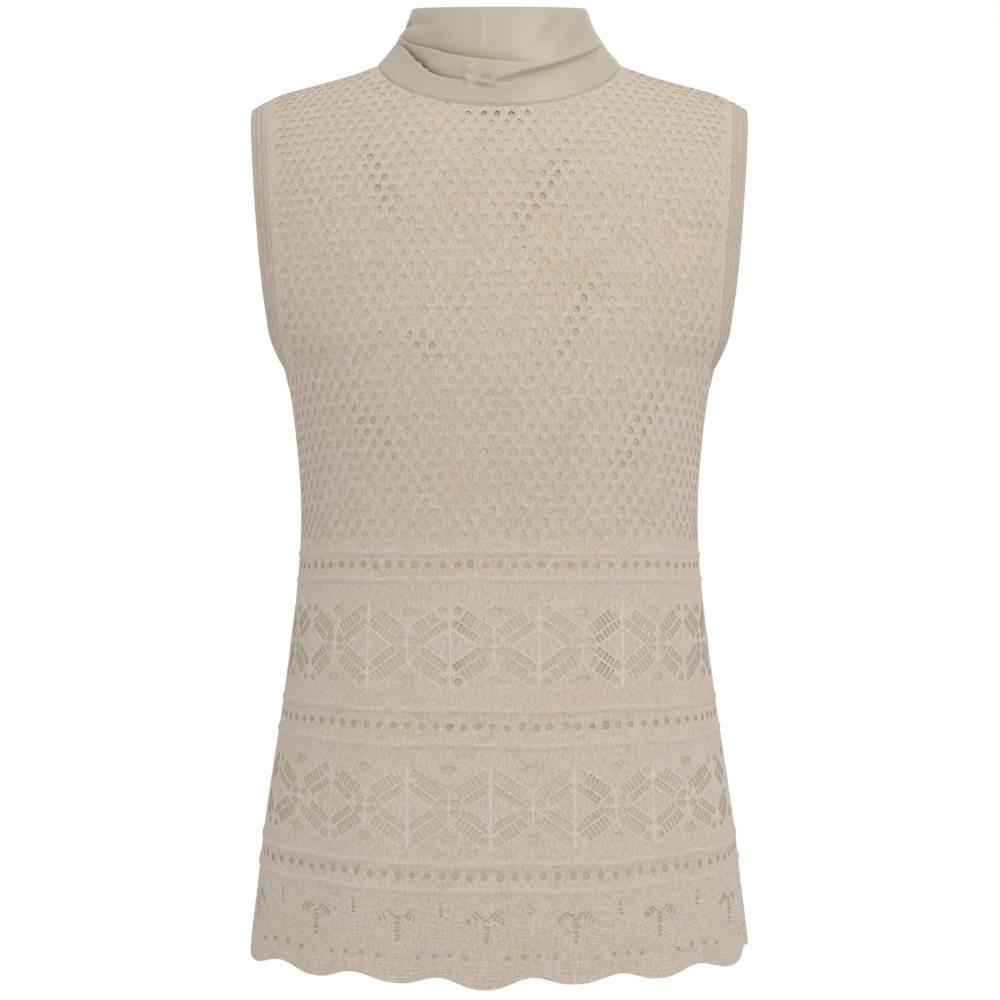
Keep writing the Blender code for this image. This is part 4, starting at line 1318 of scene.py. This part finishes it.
class Nodes:
    """Adds nodes to a material one after another."""

    def __init__(self, name):
        self.material = bpy.data.materials.new(name)
        self.material.use_nodes = True
        self.tree = self.material.node_tree
        self.shader = self.tree.nodes["Principled BSDF"]

    def add(self, kind, **settings):
        node = self.tree.nodes.new(kind)
        for key, value in settings.items():
            setattr(node, key, value)
        return node

    def put(self, value, socket):
        if isinstance(value, bpy.types.NodeSocket):
            self.tree.links.new(value, socket)
        else:
            socket.default_value = value

    def math(self, operation, *values):
        node = self.add("ShaderNodeMath", operation=operation)
        for socket, value in zip(node.inputs, values):
            self.put(value, socket)
        return node.outputs[0]

    def mix(self, share, first, second, blend="MIX"):
        node = self.add("ShaderNodeMix", data_type="RGBA", blend_type=blend)
        self.put(share, node.inputs[0])
        self.put(first, node.inputs[6])
        self.put(second, node.inputs[7])
        return node.outputs[2]

    def noise(self, vector, scale, detail=2.0, roughness=0.5):
        node = self.add("ShaderNodeTexNoise")
        self.put(vector, node.inputs["Vector"])
        node.inputs["Scale"].default_value = scale
        node.inputs["Detail"].default_value = detail
        node.inputs["Roughness"].default_value = roughness
        return node.outputs["Fac"]

    def span(self, value, low, high, to_low=0.0, to_high=1.0):
        node = self.add("ShaderNodeMapRange")
        node.clamp = True
        for socket, item in zip(node.inputs, (value, low, high, to_low, to_high)):
            self.put(item, socket)
        return node.outputs[0]

    def stretched(self, vector, x, y, z):
        node = self.add("ShaderNodeMapping")
        node.inputs["Scale"].default_value = (x, y, z)
        self.put(vector, node.inputs["Vector"])
        return node.outputs[0]

    def value_of(self, name):
        return self.add("ShaderNodeAttribute", attribute_name=name).outputs["Fac"]

    def bump(self, height, strength, distance, normal=None):
        node = self.add("ShaderNodeBump")
        node.inputs["Strength"].default_value = strength
        node.inputs["Distance"].default_value = distance
        self.put(height, node.inputs["Height"])
        if normal is not None:
            self.put(normal, node.inputs["Normal"])
        return node.outputs[0]


def knit_height(nodes, uv, wale, course):
    """The V shapes of plain knit, as a height from 0 to 1."""
    parts = nodes.add("ShaderNodeSeparateXYZ")
    nodes.put(uv, parts.inputs[0])
    across = nodes.math("DIVIDE", parts.outputs[0], wale)
    up = nodes.math("DIVIDE", parts.outputs[1], course)
    place = nodes.math("ABSOLUTE", nodes.math("SUBTRACT", nodes.math("FRACT", across), 0.5))
    from_leg = nodes.math("ABSOLUTE", nodes.math("SUBTRACT", place, 0.25))
    leg = nodes.math("SUBTRACT", 1.0, nodes.math("MULTIPLY", from_leg, 3.6))
    leg = nodes.math("MAXIMUM", leg, 0.0)
    turn = nodes.math("FRACT", nodes.math("SUBTRACT", up, nodes.math("MULTIPLY", place, 1.3)))
    strand = nodes.math("SINE", nodes.math("MULTIPLY", turn, math.pi))
    return nodes.math("MULTIPLY", leg, nodes.math("ADD", 0.35, nodes.math("MULTIPLY", strand, 0.65)))


def lace_strands(nodes):
    """Painted highlight on the diamonds' raised strands and rungs, 0 to 1, from a point's place in its
    diamond.
    """
    half_width, half_height = DIAMOND_HALF_SIZE
    corner, run, _, inward = diamond_edge(half_width, half_height)
    turn = nodes.math("SUBTRACT", nodes.math("FRACT", nodes.value_of("motif")), 0.5)
    x = nodes.math("MULTIPLY", nodes.math("ABSOLUTE", turn), 2 * half_width)
    y = nodes.math("MULTIPLY", nodes.math("ABSOLUTE", nodes.value_of("level")), half_height)

    def distance(direction):
        across = nodes.math("MULTIPLY", nodes.math("SUBTRACT", x, float(corner[0])), float(direction[0]))
        up = nodes.math("MULTIPLY", nodes.math("SUBTRACT", y, float(corner[1])), float(direction[1]))
        return nodes.math("ADD", across, up)

    def line(gap, width):
        return nodes.span(nodes.math("ABSOLUTE", gap), width * 0.3, width, 1.0, 0.0)

    depth_in, along = distance(inward), distance(run)
    strands = line(depth_in, STRAND_LIGHT)
    for offset in (LADDERS[1][0], INNER_STRAND):
        next_strand = line(nodes.math("SUBTRACT", depth_in, offset), STRAND_LIGHT)
        strands = nodes.math("MAXIMUM", strands, next_strand)
    strands = nodes.math("MAXIMUM", strands, line(x, STRAND_LIGHT * 1.2))
    beside = nodes.math("MULTIPLY", line(nodes.math("SUBTRACT", x, half_width), STRAND_LIGHT),
                        nodes.span(y, float(corner[1]), float(corner[1]) + 0.001, 1.0, 0.0))
    strands = nodes.math("MAXIMUM", strands, beside)
    from_first = nodes.math("SUBTRACT", along, LADDERS[0][2])
    step = nodes.math("FRACT", nodes.math("DIVIDE", from_first, LADDER_PITCH))
    rung = line(nodes.math("SUBTRACT", step, 0.5), 0.26)
    inner = nodes.span(depth_in, INNER_STRAND, INNER_STRAND + 0.0004, 1.0, 0.0)
    rung = nodes.math("MULTIPLY", nodes.math("MULTIPLY", rung, inner), RUNG_LIGHT)
    strands = nodes.math("MAXIMUM", strands, rung)
    strands = nodes.math("MULTIPLY", strands, nodes.span(depth_in, -STRAND_LIGHT, 0.0))
    return nodes.math("MULTIPLY", strands, nodes.span(y, half_height, half_height + 0.001, 1.0, 0.0))


def knit_material(name, base, settings, wale, course, lace=False):
    """Soft melange knit: mottled colour, V stitches with painted shade between their legs, painted
    highlight on welts and lace strands, stray fibres and a fine nap.
    """
    nodes = Nodes(name)
    shader = nodes.shader
    uv = nodes.add("ShaderNodeUVMap", uv_map="flat").outputs[0]
    place = nodes.add("ShaderNodeTexCoord").outputs["Object"]
    stitch = knit_height(nodes, uv, wale, course)
    cloud = nodes.noise(place, 22.0, 3.0, 0.55)
    blotch = nodes.noise(nodes.stretched(place, 1.0, 1.0, 0.8), 75.0, 4.0, 0.65)
    tone = nodes.noise(nodes.stretched(place, 0.9, 0.9, 1.3), 120.0, 3.0, 0.6)
    fleck = nodes.noise(nodes.stretched(place, 1.0, 1.0, 0.5), 700.0, 3.0, 0.7)
    fibre = nodes.noise(nodes.stretched(place, 1.0, 1.0, 0.6), 1700.0, 2.0, 0.7)
    warm = settings.melange
    peach = tint(base, 1 + 0.035 * warm, 1 - 0.015 * warm, 1 - 0.050 * warm)
    cool = tint(base, 1 + 0.004 * warm, 1 + 0.008 * warm, 1 + 0.018 * warm)
    yellow = tint(base, 1.0, 1 - 0.050 * warm, 1 - 0.190 * warm)
    colour = nodes.mix(nodes.span(cloud, 0.38, 0.64), peach, cool)
    colour = nodes.mix(nodes.span(blotch, 0.56, 0.76), colour, yellow)
    colour = nodes.mix(nodes.span(tone, 0.48, 0.26), colour, tint(base, 0.91, 0.90, 0.89))
    colour = nodes.mix(nodes.span(fleck, 0.50, 0.70), colour, tint(base, 1.20, 1.22, 1.26))
    colour = nodes.mix(nodes.span(fleck, 0.46, 0.30, 0.0, 0.8), colour, tint(base, 0.80, 0.77, 0.73))
    # Painted highlight: the 'light' value on the welts, and the lace's strands, lighten the colour.
    light = nodes.value_of("light")
    if lace:
        strands = lace_strands(nodes)
        light = nodes.math("MAXIMUM", light, strands)
    colour = nodes.mix(nodes.math("MULTIPLY", light, 0.8), colour, tint(base, 1.20, 1.24, 1.30))
    # Painted shade between the stitches' legs and a slight painted highlight on their tops, from the stitch
    # height.
    shade = nodes.span(stitch, 0.0, 0.75, 0.88, 1.04)
    grey = nodes.add("ShaderNodeCombineColor")
    for socket in grey.inputs:
        nodes.put(shade, socket)
    colour = nodes.mix(1.0, colour, grey.outputs[0], "MULTIPLY")
    nodes.put(colour, shader.inputs["Base Color"])
    shader.inputs["Roughness"].default_value = 0.92
    shader.inputs["Specular IOR Level"].default_value = 0.2
    shader.inputs["Sheen Weight"].default_value = settings.nap
    shader.inputs["Sheen Roughness"].default_value = 0.6
    shader.inputs["Sheen Tint"].default_value = (1.0, 0.96, 0.90, 1.0)
    height = nodes.math("ADD", nodes.math("MULTIPLY", stitch, 0.7), nodes.math("MULTIPLY", fibre, 0.6))
    normal = nodes.bump(height, 0.7, 0.0005)
    normal = nodes.bump(fleck, 0.4, 0.0007, normal)
    if lace:
        normal = nodes.bump(strands, 0.5, 0.0004, normal)
    rows = nodes.math("ADD", nodes.value_of("rows"), nodes.math("MULTIPLY", cloud, 2.4))
    rows = nodes.math("ADD", rows, nodes.math("MULTIPLY", fleck, 0.35))
    ripple = nodes.math("SINE", nodes.math("MULTIPLY", rows, 2 * math.pi))
    normal = nodes.bump(nodes.math("MULTIPLY", ripple, nodes.value_of("border")), 0.30, 0.0004, normal)
    nodes.put(normal, shader.inputs["Normal"])
    return nodes.material


def tint(colour, red, green, blue):
    """A colour with its parts made stronger or weaker."""
    return (min(1.0, colour[0] * red), min(1.0, colour[1] * green), min(1.0, colour[2] * blue), 1.0)


def smooth_cloth_material(name, base, deep, roughness, sheen, weave, mottle):
    """A smooth woven cloth: fine weave, slow changes of tone, soft gloss, and painted shade in folds."""
    nodes = Nodes(name)
    shader = nodes.shader
    place = nodes.add("ShaderNodeTexCoord").outputs["Object"]
    uv = nodes.add("ShaderNodeUVMap", uv_map="flat").outputs[0]
    slow = nodes.noise(place, 30.0, 2.0)
    streak = nodes.noise(nodes.stretched(uv, 60.0, 900.0, 1.0), 1.0, 2.0, 0.6)
    colour = nodes.mix(nodes.span(slow, 0.35, 0.7), tint(base, 1.0 + mottle, 1.0 + mottle, 1.0 + mottle),
                       tint(base, 1.0 - mottle, 1.0 - mottle, 1.0 - 1.6 * mottle))
    colour = nodes.mix(nodes.span(streak, 0.4, 0.75, 0.0, 0.35), colour, tint(base, 0.93, 0.92, 0.90))
    # Painted shade: the 'light' value mixes the colour towards the painted shade tint.
    colour = nodes.mix(nodes.math("MULTIPLY", nodes.value_of("light"), 0.8), colour, tint(base, *deep))
    nodes.put(colour, shader.inputs["Base Color"])
    rough = nodes.span(streak, 0.2, 0.8, roughness - 0.05, roughness + 0.07)
    nodes.put(rough, shader.inputs["Roughness"])
    shader.inputs["Specular IOR Level"].default_value = 0.5
    shader.inputs["Sheen Weight"].default_value = sheen
    shader.inputs["Sheen Roughness"].default_value = 0.4
    shader.inputs["Anisotropic"].default_value = 0.35
    wave = nodes.add("ShaderNodeTexWave", wave_type="BANDS", bands_direction="DIAGONAL")
    nodes.put(uv, wave.inputs["Vector"])
    wave.inputs["Scale"].default_value = weave
    wave.inputs["Distortion"].default_value = 0.6
    normal = nodes.bump(wave.outputs["Fac"], 0.12, 0.00008)
    normal = nodes.bump(nodes.noise(place, 180.0, 2.0), 0.10, 0.0006, normal)
    nodes.put(normal, shader.inputs["Normal"])
    return nodes.material


def floor_material(colour):
    """A matt pale floor that ends in a soft edge."""
    nodes = Nodes("floor")
    nodes.shader.inputs["Base Color"].default_value = (*colour, 1)
    nodes.shader.inputs["Roughness"].default_value = 0.9
    place = nodes.add("ShaderNodeTexCoord").outputs["Object"]
    length = nodes.add("ShaderNodeVectorMath", operation="LENGTH")
    nodes.put(nodes.stretched(place, 1.0, 1.0, 0.0), length.inputs[0])
    fade = nodes.span(length.outputs["Value"], FLOOR_RADIUS * 0.35, FLOOR_RADIUS, 1.0, 0.0)
    nodes.put(fade, nodes.shader.inputs["Alpha"])
    return nodes.material


# Add-on

class KnitTopCloth(bpy.types.PropertyGroup):
    """Sizes and colours of the knit and its lining."""
    knit_colour: bpy.props.FloatVectorProperty(
        name="Knit Colour", description="Middle colour of the melange yarn",
        subtype="COLOR", size=3, min=0, max=1, default=(0.645, 0.553, 0.455))
    lining_colour: bpy.props.FloatVectorProperty(
        name="Lining Colour", description="Colour of the lining behind the openwork",
        subtype="COLOR", size=3, min=0, max=1, default=(0.585, 0.492, 0.378))
    melange: bpy.props.FloatProperty(
        name="Melange", description="How far the yarn's tints differ", default=1.35, min=0, max=3)
    nap: bpy.props.FloatProperty(
        name="Nap", description="Sheen of the brushed surface", default=0.35, min=0, max=1,
        subtype="FACTOR")
    knit_wall: bpy.props.FloatProperty(
        name="Knit Thickness", description="Thickness of the knit", default=0.00045, min=0.0004,
        max=0.003, unit="LENGTH")
    column_spacing: bpy.props.FloatProperty(
        name="Eyelet Columns", description="Distance between eyelets across", default=0.00940,
        min=0.006, max=0.02, unit="LENGTH")
    row_spacing: bpy.props.FloatProperty(
        name="Eyelet Rows", description="Distance between rows of eyelets", default=0.00731,
        min=0.005, max=0.02, unit="LENGTH")
    eyelet_width: bpy.props.FloatProperty(
        name="Eyelet Width", description="Width of an eyelet", default=0.0041, min=0.002,
        max=0.006, unit="LENGTH")
    eyelet_height: bpy.props.FloatProperty(
        name="Eyelet Height", description="Height of an eyelet", default=0.0048, min=0.002,
        max=0.006, unit="LENGTH")
    strand_puff: bpy.props.FloatProperty(
        name="Strand Puff", description="How far a strand between eyelets stands out",
        default=0.00006, min=0, max=0.001, unit="LENGTH")
    belt_spacing: bpy.props.FloatProperty(
        name="Belt Eyelets", description="Distance between the eyelets of a belt", default=0.0089,
        min=0.006, max=0.02, unit="LENGTH")
    welt_height: bpy.props.FloatProperty(
        name="Welt Height", description="How far a welt stands out", default=0.0013, min=0,
        max=0.003, unit="LENGTH")
    rib_height: bpy.props.FloatProperty(
        name="Rib Height", description="How far a rib of the armhole trim stands out",
        default=0.0008, min=0.0001, max=0.002, unit="LENGTH")


class KnitTopCollar(bpy.types.PropertyGroup):
    """Sizes and colour of the satin collar."""
    satin_colour: bpy.props.FloatVectorProperty(
        name="Satin Colour", description="Colour of the collar", subtype="COLOR", size=3, min=0,
        max=1, default=(0.520, 0.452, 0.355))
    gloss: bpy.props.FloatProperty(
        name="Roughness", description="Roughness of the satin", default=0.36, min=0.1, max=1,
        subtype="FACTOR")
    fold_depth: bpy.props.FloatProperty(
        name="Crease Depth", description="Strength of the collar's small creases", default=1.0,
        min=0, max=2)
    collar_puff: bpy.props.FloatProperty(
        name="Fullness", description="How far the doubled satin stands off its seam",
        default=0.0008, min=0, max=0.003, unit="LENGTH")


class KnitTopStage(bpy.types.PropertyGroup):
    """Camera, lights and floor."""
    camera_distance: bpy.props.FloatProperty(
        name="Camera Distance", description="From the camera to the garment's axis", default=1.4,
        min=0.5, max=5, unit="LENGTH")
    camera_height: bpy.props.FloatProperty(
        name="Camera Height", description="Height of the camera from the origin", default=-0.337,
        unit="LENGTH")
    key_power: bpy.props.FloatProperty(
        name="Key Light", description="Power of the main light", default=13.8, min=0, unit="POWER")
    fill_power: bpy.props.FloatProperty(
        name="Fill Light", description="Power of the fill light", default=2.8, min=0, unit="POWER")
    ambient: bpy.props.FloatProperty(
        name="Ambient", description="Strength of the light from all round", default=0.66, min=0, max=2)
    floor_colour: bpy.props.FloatVectorProperty(
        name="Floor Colour", description="Colour of the floor", subtype="COLOR", size=3, min=0,
        max=1, default=(0.93, 0.93, 0.93))


def declare(piece, nodes):
    """Put a piece of cloth on the frame in place of its solids, which it hides."""
    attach(piece, "root")
    if nodes:
        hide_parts(*nodes)


class KNITTOP_OT_knit(bpy.types.Operator):
    """Build the openwork front and back"""
    bl_idname = "knittop.knit"
    bl_label = "Front and Back"

    def execute(self, context):
        cloth = context.scene.knittop_cloth
        material = knit_material("knit", cloth.knit_colour, cloth, 0.00165, 0.00135, lace=True)
        for word, side in (("front", FRONT), ("back", BACK)):
            net = build_net(f"{word}_net", side, cloth, material)
            lace = build_lace(f"{word}_lace", side, cloth, material)
            declare(net, [f"knit_{word}"])
            declare(lace, [f"knit_{word}"])
        return {"FINISHED"}


class KNITTOP_OT_lining(bpy.types.Operator):
    """Build the lining behind the openwork"""
    bl_idname = "knittop.lining"
    bl_label = "Lining"

    def execute(self, context):
        cloth = context.scene.knittop_cloth
        # The lining, with its painted shade tint.
        material = smooth_cloth_material("lining", cloth.lining_colour, LINING_PAINTED_SHADE, 0.6, 0.1, 900.0, 0.04)
        for word, side in (("front", FRONT), ("back", BACK)):
            piece = build_lining(f"{word}_lining", side, material)
            declare(piece, [f"lining_{word}"])
        return {"FINISHED"}


class KNITTOP_OT_trims(bpy.types.Operator):
    """Build the ribbed armhole trims and the seams between the panels"""
    bl_idname = "knittop.trims"
    bl_label = "Trims and Seams"

    def execute(self, context):
        cloth = context.scene.knittop_cloth
        colour = [c * s for c, s in zip(cloth.knit_colour, (0.84, 0.86, 0.87))]
        material = knit_material("rib", colour, cloth, 0.0022, 0.0013)
        seams = build_seams("seams", material)
        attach(seams, "root")
        for word, hand in (("left", -1), ("right", 1)):
            piece = build_trim(f"trim_{word}", hand, cloth, material)
            declare(piece, [f"armhole_trim_{word}"])
        return {"FINISHED"}


class KNITTOP_OT_collar(bpy.types.Operator):
    """Build the draped satin collar and the stitches that hold it"""
    bl_idname = "knittop.collar"
    bl_label = "Collar"

    def execute(self, context):
        look, cloth = context.scene.knittop_collar, context.scene.knittop_cloth
        # The satin, with its painted shade tint for the folds.
        material = smooth_cloth_material(
            "satin", look.satin_colour, SATIN_PAINTED_SHADE, look.gloss, 0.15, 1500.0, 0.03)
        collar = build_collar("collar", look, material)
        colour = [0.9 * c for c in cloth.knit_colour]
        thread = knit_material("stitch_thread", colour, cloth, 0.0008, 0.0008)
        stitches = build_stitches("collar_stitches", thread)
        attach(stitches, "root")
        declare(collar, ["collar_band", "collar_roll"])
        return {"FINISHED"}


FOCAL_PIXELS = 2089
HORIZON_BELOW_MIDDLE = 0.063
LIGHT_TARGET = (0, 0, -0.28)
LIGHTS = (
    # name, place, size, setting that holds its power
    ("key", (0.95, -1.6, 0.75), 1.3, "key_power"),
    ("fill", (-1.3, -1.5, 0.1), 1.4, "fill_power"),
    ("top", (0.1, -0.2, 1.4), 1.2, "fill_power"),
    ("rear", (0.3, 1.8, 0.5), 1.4, "fill_power"),
)
FLOOR_Z = -1.30
FLOOR_RADIUS = 2.3
FLOOR_POINTS = 96


def area_light(name, place, size, power):
    """A round soft light that faces the garment."""
    data = bpy.data.lights.new(name, "AREA")
    data.shape = "DISK"
    data.size = size
    data.energy = power
    light = bpy.data.objects.new(name, data)
    light.location = place
    light.rotation_euler = (Vector(LIGHT_TARGET) - Vector(place)).to_track_quat("-Z", "Y").to_euler()
    bpy.context.collection.objects.link(light)


class KNITTOP_OT_stage(bpy.types.Operator):
    """Set up the camera, the lights and the floor"""
    bl_idname = "knittop.stage"
    bl_label = "Stage"

    def execute(self, context):
        scene = context.scene
        stage = scene.knittop_stage
        camera_data = bpy.data.cameras.new("camera")
        camera_data.sensor_width = 36
        camera_data.lens = FOCAL_PIXELS * 36 / 1000
        camera_data.shift_y = HORIZON_BELOW_MIDDLE
        camera = bpy.data.objects.new("camera", camera_data)
        camera.location = (0.0004, -stage.camera_distance, stage.camera_height)
        camera.rotation_euler = (math.pi / 2, 0, 0)
        context.collection.objects.link(camera)
        scene.camera = camera
        for name, place, size, power in LIGHTS:
            area_light(name, place, size, getattr(stage, power))
        world = bpy.data.worlds.new("studio")
        world.use_nodes = True
        tree = world.node_tree
        soft = tree.nodes["Background"]
        soft.inputs[0].default_value = (1, 1, 1, 1)
        soft.inputs[1].default_value = stage.ambient
        white = tree.nodes.new("ShaderNodeBackground")
        white.inputs[0].default_value = (1, 1, 1, 1)
        path = tree.nodes.new("ShaderNodeLightPath")
        mix = tree.nodes.new("ShaderNodeMixShader")
        tree.links.new(path.outputs["Is Camera Ray"], mix.inputs[0])
        tree.links.new(soft.outputs[0], mix.inputs[1])
        tree.links.new(white.outputs[0], mix.inputs[2])
        tree.links.new(mix.outputs[0], tree.nodes["World Output"].inputs[0])
        scene.world = world
        scene.view_settings.view_transform = "Standard"
        floor_mesh = bpy.data.meshes.new("floor")
        turn = 2 * math.pi * np.arange(FLOOR_POINTS) / FLOOR_POINTS
        ring = np.stack([np.cos(turn), np.sin(turn), np.zeros(FLOOR_POINTS)], axis=1) * FLOOR_RADIUS
        floor_mesh.from_pydata((ring + (0, 0, FLOOR_Z)).tolist(), [], [tuple(range(FLOOR_POINTS))])
        floor_mesh.materials.append(floor_material(stage.floor_colour))
        floor = bpy.data.objects.new("floor", floor_mesh)
        context.collection.objects.link(floor)
        return {"FINISHED"}


class KNITTOP_PT_panel(bpy.types.Panel):
    """Knit top settings"""
    bl_idname = "KNITTOP_PT_panel"
    bl_label = "Knit Top"
    bl_space_type = "VIEW_3D"
    bl_region_type = "UI"
    bl_category = "Knit Top"

    def draw(self, context):
        layout = self.layout
        for name, _ in GROUPS:
            group = getattr(context.scene, name)
            box = layout.box()
            for key in group.__annotations__:
                box.prop(group, key)
        for operator in OPERATORS:
            layout.operator(operator.bl_idname)


GROUPS = (
    ("knittop_cloth", KnitTopCloth),
    ("knittop_collar", KnitTopCollar),
    ("knittop_stage", KnitTopStage),
)
OPERATORS = (KNITTOP_OT_stage, KNITTOP_OT_knit, KNITTOP_OT_lining, KNITTOP_OT_trims, KNITTOP_OT_collar)
CLASSES = tuple(group for _, group in GROUPS) + OPERATORS + (KNITTOP_PT_panel,)


def register():
    """Add the classes and the scene's settings."""
    for item in CLASSES:
        bpy.utils.register_class(item)
    for name, group in GROUPS:
        setattr(bpy.types.Scene, name, bpy.props.PointerProperty(type=group))


def unregister():
    """Take the scene's settings and the classes away again."""
    for name, _ in GROUPS:
        delattr(bpy.types.Scene, name)
    for item in reversed(CLASSES):
        bpy.utils.unregister_class(item)


def main():
    """Build the garment."""
    register()
    bpy.ops.knittop.stage()
    bpy.ops.knittop.knit()
    bpy.ops.knittop.lining()
    bpy.ops.knittop.trims()
    bpy.ops.knittop.collar()


if __name__ == "__main__":
    main()
